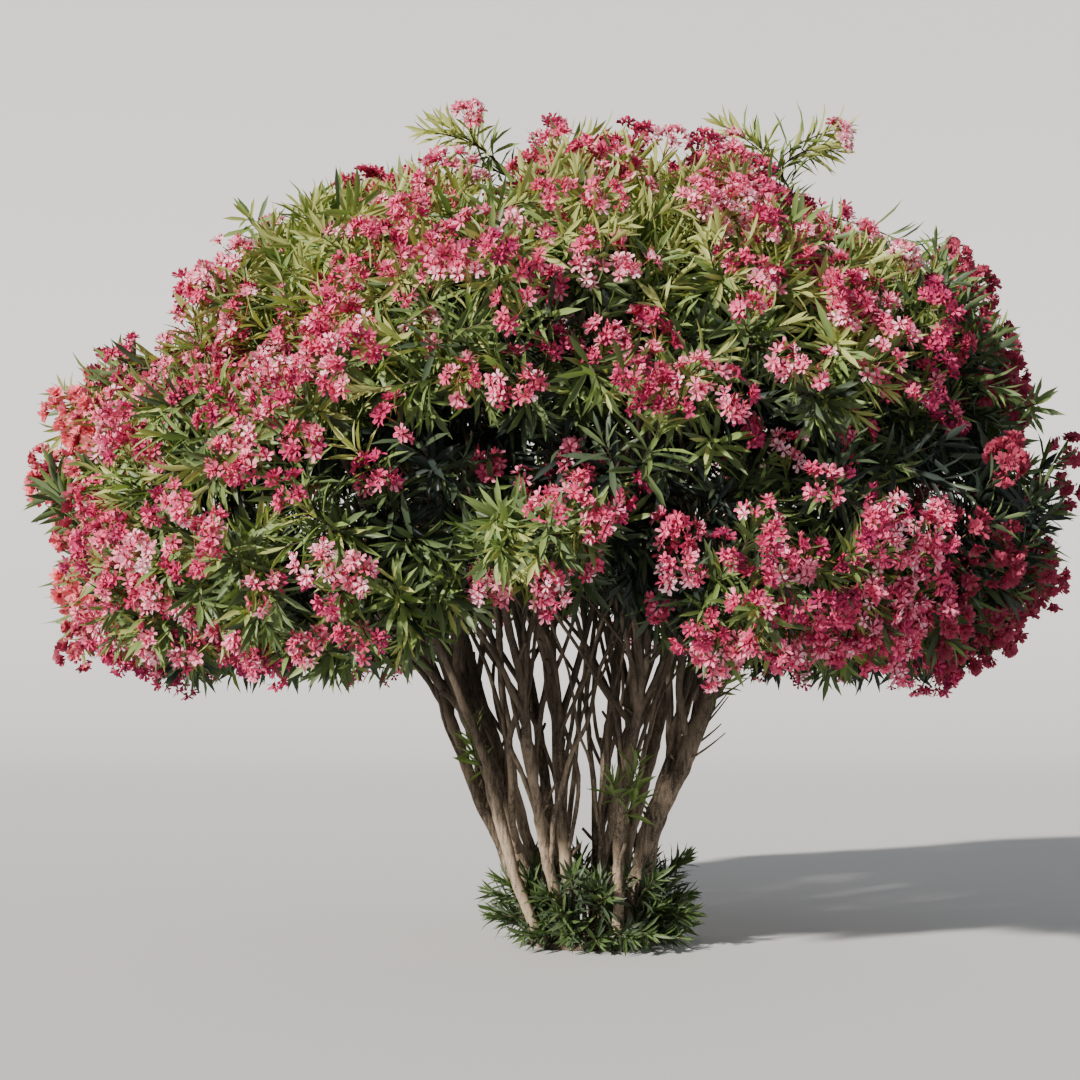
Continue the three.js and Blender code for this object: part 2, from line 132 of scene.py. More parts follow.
# %% [markdown]
# ## Repeatable chance
#
# A plant needs chance, and a script needs to give the same plant each time. This small generator
# multiplies its state and keeps the remainder. It is short enough to be the same in any
# language, so the CAD source and this script draw the same numbers from the same seed.


# %% Repeatable chance
MULTIPLIER = 16807
MODULUS = 2147483647  # a prime number, 2 to the power of 31 less 1


def draws_from(seed):
    """A function that gives the next number between 0 and 1 each time it is called."""
    state = seed

    def draw():
        nonlocal state
        state = state * MULTIPLIER % MODULUS
        return (state - 1) / (MODULUS - 1)

    return draw


def scattered(draw, sink=0.5):
    """A small random step. With a smaller sink it leads up more often than down."""
    return np.array([draw() - 0.5, draw() - 0.5, draw() - sink])


print("first draws:", [round(draws_from(71)(), 4) for _ in range(2)])

# %% [markdown]
# ## Masses, stems and boughs
#
# The crown is shared between four tiers of masses. Eight outer stems carry the shoulder and six
# inner ones the upper tier. The skirt and the top hang on boughs that fork off them. A stem is a
# smooth curve through five points, so one short table of feet and waists gives all of them.

# %% The masses
TIERS = [
    dict(name="skirt", masses=9, rise=-12, low=-50, high=9, turn=0, tips=92),
    dict(name="shoulder", masses=8, rise=24, low=9, high=40, turn=22.5, tips=88),
    dict(name="upper", masses=6, rise=52, low=40, high=68, turn=0, tips=70),
    dict(name="top", masses=1, rise=88, low=68, high=90, turn=240, tips=120),
]
HUB_DEPTH = 0.50
HEART_DEPTH = 0.76

masses = []
for tier in TIERS:
    for i in range(tier["masses"]):
        turn = tier["turn"] + 360 / tier["masses"] * i
        masses.append(
            dict(
                tier=tier,
                turn=turn,
                seed=71 + 37 * len(masses),
                hub=crown_point(turn, tier["rise"], HUB_DEPTH),
                heart=crown_point(turn, tier["rise"], HEART_DEPTH),
            )
        )
print(len(masses), "masses with", sum(mass["tier"]["tips"] for mass in masses), "shoots to grow")


# %% Curves
def smooth_line(points, samples=96):
    """A smooth curve through points (a centripetal Catmull-Rom spline), evenly sampled."""
    points = [np.array(p, float) for p in points]
    ends = [2 * points[0] - points[1], *points, 2 * points[-1] - points[-2]]
    path = []
    for p0, p1, p2, p3 in zip(ends, ends[1:], ends[2:], ends[3:]):
        d0, d1, d2 = (np.sqrt(np.linalg.norm(b - a)) for a, b in ((p0, p1), (p1, p2), (p2, p3)))
        m1 = d1 * ((p1 - p0) / d0 - (p2 - p0) / (d0 + d1) + (p2 - p1) / d1)
        m2 = d1 * ((p2 - p1) / d1 - (p3 - p1) / (d1 + d2) + (p3 - p2) / d2)
        for t in np.linspace(0, 1, 40, endpoint=False):
            cubic = (2 * p1 - 2 * p2 + m1 + m2) * t**3 + (3 * p2 - 3 * p1 - 2 * m1 - m2) * t**2
            path.append(p1 + m1 * t + cubic)
    return even([*path, points[-1]], samples)


def bent_line(start, knee, end, samples=24):
    """A curve from start to end that leaves towards its knee (a quadratic Bezier)."""
    t = np.linspace(0, 1, samples)[:, None]
    return even((1 - t) ** 2 * start + 2 * t * (1 - t) * knee + t**2 * end, samples)


def even(path, samples):
    """The same path with evenly spaced points."""
    path = np.array(path)
    along = np.concatenate([[0], np.cumsum(np.linalg.norm(np.diff(path, axis=0), axis=1))])
    places = np.linspace(0, along[-1], samples)
    return np.stack([np.interp(places, along, path[:, k]) for k in range(3)], axis=1)


def index_at(line, level):
    """The number of the point where a rising line reaches a level."""
    return int(np.searchsorted(line[:, 2], level))


noise.seed_set(11)  # vector noise would start from the clock without a seed
SLOW_BENDS, QUICK_BENDS = 2.6, 7.0  # how many to a metre, roughly


def sway(point):
    """A slow bend and a weaker, quicker one."""
    slow, quick = Vector(point * SLOW_BENDS), Vector(point * QUICK_BENDS)
    return noise.noise_vector(slow) + 0.4 * noise.noise_vector(quick)


def crooked(line, amount):
    """The same line with small bends. Both ends stay where they are."""
    share = np.linspace(0, 1, len(line))[:, None]
    return line + amount * np.minimum(1, 6 * share * (1 - share)) * np.array([sway(p) for p in line])


def unit(v):
    v = np.asarray(v, float)
    return v / np.maximum(np.linalg.norm(v, axis=-1, keepdims=True), 1e-9)


print("a test curve of", len(smooth_line([(0, 0, 0), (0, 0, 1), (1, 0, 2)])), "points")

# %% The stems
WAIST_LEVEL = 0.970
KNEE_LEVEL = 0.400
STUB_LEVEL = 0.140
FLARE = 1.75
TIP_GIRTH = 0.42
STEM_BEND = 0.026  # how far chance moves the knee and the upper stem aside
KNEE_SHARE = 0.36  # of the way from the foot to the waist
CROOK = 0.022  # small bends on top of the smooth line
STEMS = {
    "shoulder": [
        ((0.165, 0.075), (0.420, 0.235), 0.025),
        ((0.095, 0.190), (0.215, 0.540), 0.031),
        ((-0.090, 0.205), (-0.235, 0.530), 0.028),
        ((-0.205, 0.050), (-0.600, 0.110), 0.029),
        ((-0.165, -0.075), (-0.515, -0.160), 0.046),
        ((-0.095, -0.195), (-0.265, -0.480), 0.024),
        ((0.105, -0.200), (0.165, -0.525), 0.023),
        ((0.130, -0.095), (0.460, -0.205), 0.050),
    ],
    "upper": [
        ((0.095, -0.005), (0.300, -0.020), 0.032),
        ((0.035, 0.095), (0.110, 0.255), 0.026),
        ((-0.065, 0.095), (-0.150, 0.235), 0.028),
        ((-0.120, 0.000), (-0.430, 0.010), 0.025),
        ((-0.055, -0.115), (-0.130, -0.260), 0.027),
        ((0.005, -0.060), (0.200, -0.180), 0.019),
    ],
}


def stem_line(foot, waist, hub, draw):
    """From the foot, out to the waist of the vase, and up to the hub of the stem's mass."""
    foot, waist = np.array([*foot, 0]), np.array([*waist, WAIST_LEVEL])
    knee = foot + KNEE_SHARE * (waist - foot)
    knee[2] = KNEE_LEVEL
    high = (waist + hub) / 2
    for point in (knee, high):
        point += [(draw() - 0.5) * 2 * STEM_BEND, (draw() - 0.5) * 2 * STEM_BEND, 0]
    return smooth_line([foot, knee, waist, high, hub])


def stem_girths(line, girth):
    """A radius for each point: a flare at the ground, then an even taper to the tip."""
    share = np.linspace(0, 1, len(line))
    stub = np.interp(STUB_LEVEL, line[:, 2], share)
    taper = 1 - (1 - TIP_GIRTH) * (share - stub) / (1 - stub)
    flare = 1 + (FLARE - 1) * (1 - np.minimum(share / stub, 1)) ** 2
    return girth * np.where(share < stub, flare, taper)


stems = []
for tier_name, rows in STEMS.items():
    tops = [mass for mass in masses if mass["tier"]["name"] == tier_name]
    for i, ((foot, waist, girth), mass) in enumerate(zip(rows, tops)):
        line = stem_line(foot, waist, mass["hub"], draws_from(506 + 7 * i))
        girths = stem_girths(line, girth)
        line = crooked(line, CROOK)
        stems.append(dict(tier=tier_name, mass=mass, line=line, girths=girths, forks=0))
        mass.update(entry=girths[-1], toward=unit(line[-1] - line[-2]))
print(len(stems), "stems of", len(stems[0]["line"]), "points")

# %% The boughs
FORK_LEVELS = {"skirt": 0.900, "top": 0.860}
FORK_STEP = 0.170  # a stem's second fork lies this much higher
CARRIERS = {"skirt": "shoulder", "top": "upper"}
BOUGH_GIRTH = 0.62  # beside its stem's
BOUGH_TAPER = 0.65
FORK_RUN = 0.160  # a bough first follows its stem's direction this far

boughs = []
for mass in masses:
    tier_name = mass["tier"]["name"]
    if tier_name not in FORK_LEVELS:
        continue
    draw = draws_from(mass["seed"])
    most = 2 if tier_name == "skirt" else 1
    near = [s for s in stems if s["tier"] == CARRIERS[tier_name] and s["forks"] < most]
    stem = min(near, key=lambda s: turn_between(s["mass"]["turn"], mass["turn"]))
    stem["forks"] += 1
    level = FORK_LEVELS[tier_name] + (stem["forks"] - 1) * FORK_STEP
    at = index_at(stem["line"], level)
    start, radius = stem["line"][at], stem["girths"][at] * BOUGH_GIRTH
    ahead = start + FORK_RUN * unit(stem["line"][at + 1] - stem["line"][at])
    knee = ahead + (mass["hub"] - ahead) * (0.35 + 0.1 * draw())
    line = crooked(bent_line(start, knee, mass["hub"], 40), CROOK)
    girths = radius * np.linspace(1, BOUGH_TAPER, len(line))
    boughs.append(dict(line=line, girths=girths))
    mass.update(entry=girths[-1], toward=unit(line[-1] - line[-2]))
print(len(boughs), "boughs")

# %% [markdown]
# ## Side branches and snags
#
# Between the stems the photo shows a thicket of thinner branches that fork off low, cross each
# other and vanish into the crown. There are also dead twigs and the stub of a sawn limb. They
# carry no leaves here, so they are only lines. Placing each by hand would be slow, and most are
# hard to tell apart, so chance places them within the vase of the stems. Only the limbs that
# stand out in the photo, and cross in front of others, have a row each.

# %% Side branches and snags
SIDE_BRANCHES = 5  # of each stem
SIDE_START, SIDE_STEP, SIDE_SPREAD = 0.14, 0.18, 0.20  # the levels where they fork off
SIDE_GIRTH = 0.017  # at most
SNAGS = 5  # of each stem
sides, snags = [], []


def add_snag(start, way, length, lift, girth, end, samples):
    """A dead twig that bends up a little towards its end."""
    middle, tip = start + way * length * 0.5, start + way * length
    line = bent_line(start, middle, tip + [0, 0, lift], samples)
    snags.append(dict(line=line, girths=np.linspace(girth, end, samples)))


for i, stem in enumerate(stems):
    draw = draws_from(104729 * (i + 2))
    for k in range(SIDE_BRANCHES):
        at = index_at(stem["line"], SIDE_START + SIDE_STEP * k + SIDE_SPREAD * draw())
        start, way = stem["line"][at], unit(stem["line"][at + 1] - stem["line"][at])
        aside = (25 + 75 * draw()) * (-1) ** k
        end = crown_point(stem["mass"]["turn"] + aside, 5 + 60 * draw(), 0.34 + 0.22 * draw())
        reach = np.linalg.norm(end - start)
        across = unit(np.cross(way, [0, 0, 1])) * (1.4 * draw() - 0.7)
        line = bent_line(start, start + 0.42 * reach * unit(way + across), end, 32)
        girth = min(SIDE_GIRTH, stem["girths"][at] * (0.26 + 0.28 * draw()))
        girths = np.linspace(girth, 0.55 * girth, len(line))
        sides.append(dict(line=crooked(line, 2.0 * CROOK), girths=girths))
    for k in range(SNAGS):
        at = index_at(stem["line"], 0.32 + 0.85 * draw())
        way = unit([1.6 * draw() - 0.8, 1.6 * draw() - 0.8, 0.35 + 0.5 * draw()])
        length = stem["girths"][at] + 0.02 + 0.10 * draw() ** 2
        add_snag(stem["line"][at], way, length, 0.01, 0.008, 0.0035 + 0.003 * draw(), 5)
print(len(sides), "side branches,", len(snags), "snags")

# %% Dead twigs and a sawn stub
SPIKY_STEM = 7  # dead twigs stand in a row on its outer side
SPIKES = 10
SPIKE_START, SPIKE_STEP = 0.72, 0.045
SAWN_STUB = dict(stem=4, level=0.93, way=(-0.75, -0.25, 0.55), length=0.115, girth=0.017)
draw = draws_from(6301)
line = stems[SPIKY_STEM]["line"]
for k in range(SPIKES):
    start = line[index_at(line, SPIKE_START + SPIKE_STEP * k)]
    way = unit([0.5 + 0.7 * draw(), -0.5 * draw(), 0.25 + 0.9 * draw()])
    add_snag(start, way, 0.07 + 0.16 * draw(), 0.03, 0.006, 0.0022, 7)
line = stems[SAWN_STUB["stem"]]["line"]
start = line[index_at(line, SAWN_STUB["level"])]
tip = start + SAWN_STUB["length"] * unit(SAWN_STUB["way"])
snags.append(dict(line=even([start, tip], 5), girths=np.full(5, SAWN_STUB["girth"])))
print(len(snags), "snags with the stub")

# %% Limbs that cross in front
CROSSINGS = [  # stem, level where the limb leaves it, further points, radius
    (12, 0.84, [(-0.070, -0.220, 1.02), (-0.010, -0.200, 1.27), (0.060, -0.300, 1.65)], 0.017),
    (13, 0.84, [(0.050, -0.200, 1.02), (-0.030, -0.250, 1.19), (-0.160, -0.350, 1.55)], 0.013),
    (13, 0.90, [(0.250, -0.240, 1.05), (0.330, -0.320, 1.45)], 0.012),
    (7, 0.66, [(0.420, -0.190, 0.90), (0.540, -0.230, 1.07), (0.720, -0.340, 1.40)], 0.022),
    (7, 0.78, [(0.345, -0.260, 1.05), (0.330, -0.400, 1.45)], 0.018),
    (8, 0.30, [(0.120, -0.040, 0.66), (0.100, -0.030, 1.00), (0.050, -0.050, 1.50)], 0.016),
    (9, 0.28, [(0.000, 0.060, 0.66), (-0.010, 0.080, 1.02), (0.060, 0.120, 1.55)], 0.014),
    (10, 0.36, [(-0.060, 0.100, 0.80), (-0.020, 0.060, 1.15), (-0.060, 0.000, 1.60)], 0.013),
    (5, 0.62, [(-0.180, -0.300, 0.95), (-0.080, -0.280, 1.25), (-0.030, -0.360, 1.60)], 0.011),
    (4, 0.45, [(-0.330, -0.080, 0.80), (-0.360, -0.030, 1.20), (-0.420, -0.050, 1.60)], 0.019),
]
FRONT_LIMB = [  # it rises from the ground beside stem 4
    (-0.195, -0.225, 0.04),
    (-0.275, -0.250, 0.21),
    (-0.340, -0.245, 0.42),
    (-0.450, -0.280, 0.80),
    (-0.650, -0.380, 1.30),
]
for stem, level, points, girth in [*CROSSINGS, (4, 0, FRONT_LIMB, 0.025)]:
    line = stems[stem]["line"]
    line = crooked(smooth_line([line[index_at(line, level)], *points], 32), CROOK)
    sides.append(dict(line=line, girths=np.linspace(girth, 0.6 * girth, len(line))))
print(len(sides), "branches and limbs beside the stems")

# %% [markdown]
# ## The growth rule
#
# A shrub could be grown from the root by rules for forking, but then its outline is left to
# chance. Here each mass aims its shoots at targets that are spread evenly over its part of the
# crown. Every new twig leaves from the nearest point that lies further in, so early twigs become
# branches and later ones stay fine, as on a real shrub. The real crown is made of lumps with dark
# hollows between them, so slow noise and tables of dents move the targets in and out.

# %% The crown's uneven surface
HOLLOWS = [  # middle, half width, half height, how far the leaves draw back
    ((-0.33, 2.00), 0.46, 0.19, 0.26),
    ((-0.69, 1.76), 0.19, 0.25, 0.13),
    ((0.45, 1.82), 0.26, 0.19, 0.22),
    ((0.22, 1.49), 0.22, 0.24, 0.20),
    ((-0.04, 2.60), 0.19, 0.20, 0.10),
    ((0.73, 2.24), 0.12, 0.16, 0.11),
    ((0.40, 2.48), 0.12, 0.10, 0.09),
    ((1.46, 1.90), 0.18, 0.32, 0.06),
    ((1.05, 1.96), 0.20, 0.12, 0.10),
]
NOTCHES = [  # the same, for dents in the outline
    ((1.18, 2.98), 0.30, 0.26, 0.080),
    ((-1.41, 3.00), 0.24, 0.22, 0.050),
    ((-1.58, 2.60), 0.30, 0.25, 0.320),
    ((-0.42, 3.38), 0.20, 0.30, 0.170),
    ((-0.86, 3.34), 0.16, 0.24, 0.050),
    ((0.36, 3.42), 0.14, 0.24, 0.070),
    ((1.85, 1.53), 0.20, 0.20, 0.035),
    ((1.84, 1.12), 0.24, 0.18, 0.090),
    ((-1.98, 2.48), 0.26, 0.22, 0.110),
]
LUMP_SIZE = 0.46
LUMP_HEIGHT = 0.080
SHADE_START, SHADE_FADE = 1.25, 0.30  # the right-hand end, which lies in shade and gets painted shade


def seen(point):
    """Where the photo shows a point, on the plane through the stems. The back mirrors the front."""
    nearer = EYE[1] / (EYE[1] + abs(point[1]))
    return EYE[0] + (point[0] - EYE[0]) * nearer, EYE[2] + (point[2] - EYE[2]) * nearer


def patch(point, middle, half_width, half_height):
    """1 in the middle of a patch of the view, fading to 0 outside it."""
    x, z = seen(point)
    return math.exp(-(((x - middle[0]) / half_width) ** 2) - ((z - middle[1]) / half_height) ** 2)


def lumpiness(point):
    """Slow noise from about -1 to 1."""
    return noise.noise(Vector(point / LUMP_SIZE)) + 0.5 * noise.noise(Vector(point / LUMP_SIZE * 2.3))


def hollowness(point):
    """How deep a point lies in one of the dark hollows, from 0 to 1."""
    return max(patch(point, *hollow[:3]) * min(1, hollow[3] / 0.15) for hollow in HOLLOWS)


def shadiness(point):
    """0 over most of the crown and 1 at its right-hand end, where leaves and flowers get painted
    shade.
    """
    return float(np.clip((seen(point)[0] - SHADE_START) / SHADE_FADE, 0, 1))


def drawn_back(point):
    """How far the hollows and notches pull the crown's surface in."""
    return sum(patch(point, *place[:3]) * place[3] for place in HOLLOWS + NOTCHES)


print("lumps at two places:", [round(lumpiness(crown_point(turn, 30, 1)), 2) for turn in (200, 250)])

# %% Where the shoots aim
SHOOT_DEPTH, SHOOT_SPREAD = 0.875, 0.10  # where the twigs end before lumps and hollows move them


def target_of(mass, k, draw):
    """The k-th target of a mass. The two constants spread any number of them evenly."""
    tier = mass["tier"]
    across = (0.5 + 0.7548776662 * k) % 1
    along = (0.5 + 0.569840291 * k) % 1
    turn = mass["turn"] + (across - 0.5) * 360 / tier["masses"]
    low, high = (math.sin(math.radians(tier[edge])) for edge in ("low", "high"))
    rise = math.degrees(math.asin(low + (high - low) * along))
    surface = crown_point(turn, rise, 1)
    depth = SHOOT_DEPTH + SHOOT_SPREAD * draw() + LUMP_HEIGHT * lumpiness(surface)
    return crown_point(turn, rise, depth - drawn_back(surface))


print("first target:", target_of(masses[0], 1, draws_from(5)).round(2))

# %% [markdown]
# ## The twigs
#
# Most twigs only reach the crown's surface. A few long shoots, here called plumes, stand out of
# it and give the outline its points. Inner shoots stop short of the surface. Their leaves take
# the darkest greens, painted shade of the crown's inside, and fill the depth of the crown as seen
# between the outer sprays.

# %% The twigs
PLUMES = [  # where each long shoot ends
    (-0.640, -0.460, 3.300),
    (0.200, -0.300, 3.260),
    (0.630, -0.300, 3.310),
    (1.100, -0.200, 3.355),
    (-1.450, -0.050, 2.780),
    (-2.030, 0, 2.240),
    (-2.250, 0, 1.900),
    (-2.050, -0.100, 1.100),
    (1.530, -0.050, 2.760),
    (1.680, 0, 2.630),
    (1.930, 0, 1.845),
    (1.650, -0.060, 1.200),
    (-0.300, 1.250, 3.060),
]
COMPANIONS = 3  # shorter shoots that stand round each plume
COMPANION_SPREAD, COMPANION_SINK = 0.26, 0.13
PLUME_HEAD = 0.11  # a plume's own flowers and leaves reach this far past its twig
INNER_SHOOTS = 27  # of each mass
INNER_DEPTH, INNER_SPREAD = 0.68, 0.16  # beside the target's own depth
TWIG_RADIUS = 0.0105
FINEST_TWIG = 0.0028
THINNING = 0.66  # a twig's radius beside its parent's
TWIG_FORKS = (3, 5, 6)  # the points of a twig, of nine, where others may fork off


def owner_of(tip):
    """The mass whose own direction is nearest to a tip."""

    def away(mass):
        return np.linalg.norm(crown_point(mass["turn"], mass["tier"]["rise"], 1) - tip)

    return min(masses, key=away)


owners = [owner_of(np.array(tip)) for tip in PLUMES]
print("plumes of each tier:", {t["name"]: sum(m["tier"] is t for m in owners) for t in TIERS})


# %% Growing the twigs
FURTHER_IN = 0.08  # a twig leaves from a point at least this much deeper than its end
OUT_OF_REACH = 10.0


def grow(mass):
    """Twigs of one mass, each a line with its radius at either end."""
    draw = draws_from(mass["seed"])
    length = np.linalg.norm(mass["heart"] - mass["hub"])
    line = bent_line(mass["hub"], mass["hub"] + 0.4 * length * mass["toward"], mass["heart"])
    own = dict(line=line, start=mass["entry"], end=0.6 * mass["entry"], kind="limb")
    places = list(line[6::4])
    ways = [unit(line[-1] - line[0])] * len(places)
    girths = [TWIG_RADIUS / THINNING] * len(places)
    twigs = [own]
    plumes = []
    for tip in map(np.array, PLUMES):
        if owner_of(tip) is mass:
            plumes.append(tip)
            for k in range(COMPANIONS):
                aside = COMPANION_SPREAD * scattered(draw)
                plumes.append(tip + aside - COMPANION_SINK * unit(tip - CROWN_MIDDLE))
    outer = [target_of(mass, k, draw) for k in range(1, mass["tier"]["tips"] + 1)]
    inner = [target_of(mass, k + 0.5, draw) for k in range(INNER_SHOOTS)]
    inner = [
        CROWN_MIDDLE + (INNER_DEPTH + INNER_SPREAD * draw()) * (target - CROWN_MIDDLE)
        for target in inner
    ]
    for k, target in enumerate(plumes + inner + outer):
        depths = depth_of(np.array(places))
        own_depth = depth_of(target[None])[0]
        away = np.linalg.norm(np.array(places) - target, axis=1)
        away = np.where(depths < own_depth - FURTHER_IN, away, away + OUT_OF_REACH)
        nearest = int(np.argmin(away))
        start, way = places[nearest], ways[nearest]
        plume = k < len(plumes)
        if plume:
            target = target - PLUME_HEAD * unit(target - start)
        reach = np.linalg.norm(target - start)
        knee = start + 0.45 * reach * unit(way + [0, 0, 0.15 * draw()])
        line = bent_line(start, knee, target, 9)
        radius = max(girths[nearest] * THINNING, FINEST_TWIG)
        kind = "plume" if plume else "inner" if k < len(plumes) + INNER_SHOOTS else "outer"
        twigs.append(dict(line=line, start=radius, end=FINEST_TWIG * 0.8, kind=kind))
        for fork in TWIG_FORKS:
            places.append(line[fork])
            ways.append(unit(line[fork + 1] - line[fork]))
            girths.append(max(radius * (1 - 0.08 * fork), FINEST_TWIG))
    return twigs


twigs = []
for mass in masses:
    twigs += grow(mass)
shoots = [twig for twig in twigs if twig["kind"] != "limb"]
print(len(twigs), "twigs,", len(shoots), "of them end in a shoot")

# %% [markdown]
# ## Shoots round the foot
#
# An old oleander throws up leafy suckers beside its stems. They are short, fresh green and carry
# no flowers. A few weak sprigs also break straight out of the bare stems.

# %% Shoots round the foot
MOUND_RADIUS = 0.275
BASAL = dict(count=5, turn=15, reach=0.40, height=0.215)
SUCKERS = 24  # of each group
GROUP_SPREAD = 74  # degrees


def on_ring(radius, turn, level):
    turn = math.radians(turn)
    return np.array([radius * math.cos(turn), radius * math.sin(turn), level])


suckers = []
for i in range(BASAL["count"]):
    draw = draws_from(907 + 13 * i)
    turn = BASAL["turn"] + 360 / BASAL["count"] * i
    for k in range(SUCKERS):
        swing = turn + GROUP_SPREAD * (draw() - 0.5)
        start = on_ring(MOUND_RADIUS * (0.50 + 0.5 * draw()), swing, 0.03)
        height = BASAL["height"] * (0.20 + 1.35 * draw())
        tip = on_ring(BASAL["reach"] * (0.62 + 0.46 * draw()), swing + 24 * (draw() - 0.5), height)
        knee = start + [0, 0, 0.6 * height]
        suckers.append(dict(line=bent_line(start, knee, tip, 9), start=0.005, end=0.0025))
SPRIGS = [  # which stem, how high, and how far it leans sideways
    (6, 0.52, 0.06),
    (6, 0.57, -0.04),
    (6, 0.62, 0.03),
    (13, 0.58, 0.05),
    (4, 0.70, -0.07),
    (4, 0.76, -0.04),
    (7, 1.00, 0.08),
]
for stem, level, lean in SPRIGS:
    line = stems[stem]["line"]
    start = line[index_at(line, level)]
    knee, tip = start + [lean * 0.8, -0.06, 0], start + [lean, -0.07, 0.11]
    suckers.append(dict(line=bent_line(start, knee, tip, 9), start=0.004, end=0.002))
print(len(suckers), "suckers and sprigs")

# %% [markdown]
# ## Helpers for nodes
#
# Geometry and shading are both built from nodes. One function adds a node of any type, sets its
# own settings first, and then gives each socket a value or a link. It keeps the trees below
# short enough to read as recipes. A second set of helpers starts and ends a recipe, runs it on a
# source mesh, and keeps what it makes as a plain mesh.


# %% Helpers for nodes
def add_node(tree, kind, settings=None, sockets=None):
    """A node with its settings and its sockets' values or links. A socket is a name or a number."""
    node = tree.nodes.new(kind)
    for name, value in (settings or {}).items():
        setattr(node, name, value)
    for name, value in (sockets or {}).items():
        if isinstance(value, bpy.types.NodeSocket):
            tree.links.new(value, node.inputs[name])
        else:
            node.inputs[name].default_value = value
    return node


def node_output(tree, kind, sockets=None, **settings):
    """The first output of a new node."""
    return add_node(tree, kind, settings, sockets).outputs[0]


print("node helpers ready")


# %% Recipes and the meshes they make
def new_recipe(name, inputs):
    """An empty geometry node tree with named inputs, its Group Input and its Group Output."""
    tree = bpy.data.node_groups.new(name, "GeometryNodeTree")
    for label, kind in {"Geometry": "NodeSocketGeometry", **inputs}.items():
        tree.interface.new_socket(label, in_out="INPUT", socket_type=kind)
    tree.interface.new_socket("Geometry", in_out="OUTPUT", socket_type="NodeSocketGeometry")
    return tree, tree.nodes.new("NodeGroupInput").outputs, tree.nodes.new("NodeGroupOutput").inputs


def new_mesh(name, points, faces):
    mesh = bpy.data.meshes.new(name)
    mesh.from_pydata(points, [], faces)
    return mesh


def finish_recipe(tree, geometry, material, result):
    """Every recipe ends alike: real faces instead of instances, smooth shading, a material."""
    real = node_output(tree, "GeometryNodeRealizeInstances", {"Geometry": geometry})
    smooth = node_output(tree, "GeometryNodeSetShadeSmooth", {0: real})
    painted = node_output(tree, "GeometryNodeSetMaterial", {0: smooth, "Material": material})
    tree.links.new(painted, result[0])


def follow(recipe, name, source, **values):
    """Runs a recipe on a source mesh and keeps the result as a plain mesh at the origin."""
    maker = add_object(name + "_source", source)
    modifier = maker.modifiers.new("recipe", "NODES")
    modifier.node_group = recipe
    for item in recipe.interface.items_tree:
        if item.in_out == "INPUT" and item.name in values:
            modifier[item.identifier] = values[item.name]
    evaluated = maker.evaluated_get(bpy.context.evaluated_depsgraph_get())
    mesh = bpy.data.meshes.new_from_object(evaluated)
    bpy.data.objects.remove(maker)  # and with it the modifier
    bpy.data.meshes.remove(source)
    for label in ("girth", "axis", "face", "size"):
        if label in mesh.attributes:
            mesh.attributes.remove(mesh.attributes[label])
    places = np.zeros(len(mesh.vertices) * 3, np.float32)
    mesh.vertices.foreach_get("co", places)
    places[2::3] = np.maximum(places[2::3], 0)  # nothing reaches below the ground
    mesh.vertices.foreach_set("co", places)
    mesh.name = name
    print(name, sum(len(face.vertices) - 2 for face in mesh.polygons), "triangles")
    return add_object(name, mesh)


print("recipe helpers ready")

# %% [markdown]
# ## Bark
#
# Oleander bark is smooth and grey-brown, with paler corky spots in rows across the stem and
# darker streaks along it. Colours vary slowly from patch to patch, and towards the crown the limbs
# are painted darker, as painted shade of the crown above them. A picture of bark would need
# every limb unwrapped and would show seams. All of this depends only on the place on the object,
# so it is worked out from Object coordinates by shader maths. A small class lets that maths be
# written as ordinary expressions.


# %% Shader maths as expressions
class Maths:
    """A socket that can be added to, multiplied and so on, each as a Math node."""

    def __init__(self, tree, socket):
        self.tree, self.socket = tree, socket

    def join(self, operation, first, second):
        values = {i: getattr(v, "socket", v) for i, v in enumerate((first, second))}
        return Maths(self.tree, node_output(self.tree, "ShaderNodeMath", values, operation=operation))

    def __add__(self, other):
        return self.join("ADD", self, other)

    def __mul__(self, other):
        return self.join("MULTIPLY", self, other)

    def between(self, low, high):
        """0 below low, 1 above high, and smooth from one to the other."""
        values = {"Value": self.socket, "From Min": low, "From Max": high}
        step = node_output(self.tree, "ShaderNodeMapRange", values, interpolation_type="SMOOTHSTEP")
        return Maths(self.tree, step)

    __radd__, __rmul__ = __add__, __mul__


def new_look(name, **shader):
    """A material with its Principled shader's constant values set."""
    material = bpy.data.materials.new(name)
    material.use_nodes = True
    principled = material.node_tree.nodes["Principled BSDF"]
    for socket, value in shader.items():
        principled.inputs[socket.replace("_", " ")].default_value = value
    return material, material.node_tree, principled


def blend(tree, share, first, second):
    """A colour between two others. Colours go through a Mix node, which keeps their hue."""
    values = {"Factor": share.socket, "A": first, "B": second}
    node = tree.nodes.new("ShaderNodeMix")
    node.data_type = "RGBA"
    for socket in node.inputs:
        if socket.enabled and socket.name in values:
            value = values[socket.name]
            if isinstance(value, bpy.types.NodeSocket):
                tree.links.new(value, socket)
            else:
                socket.default_value = value
    return next(socket for socket in node.outputs if socket.enabled)


print("maths ready")


# %% Bark
SHADE_PAINTED_FROM, SHADE_PAINTED_FULL = 0.45, 1.15  # levels between which painted shade of the crown darkens the bark
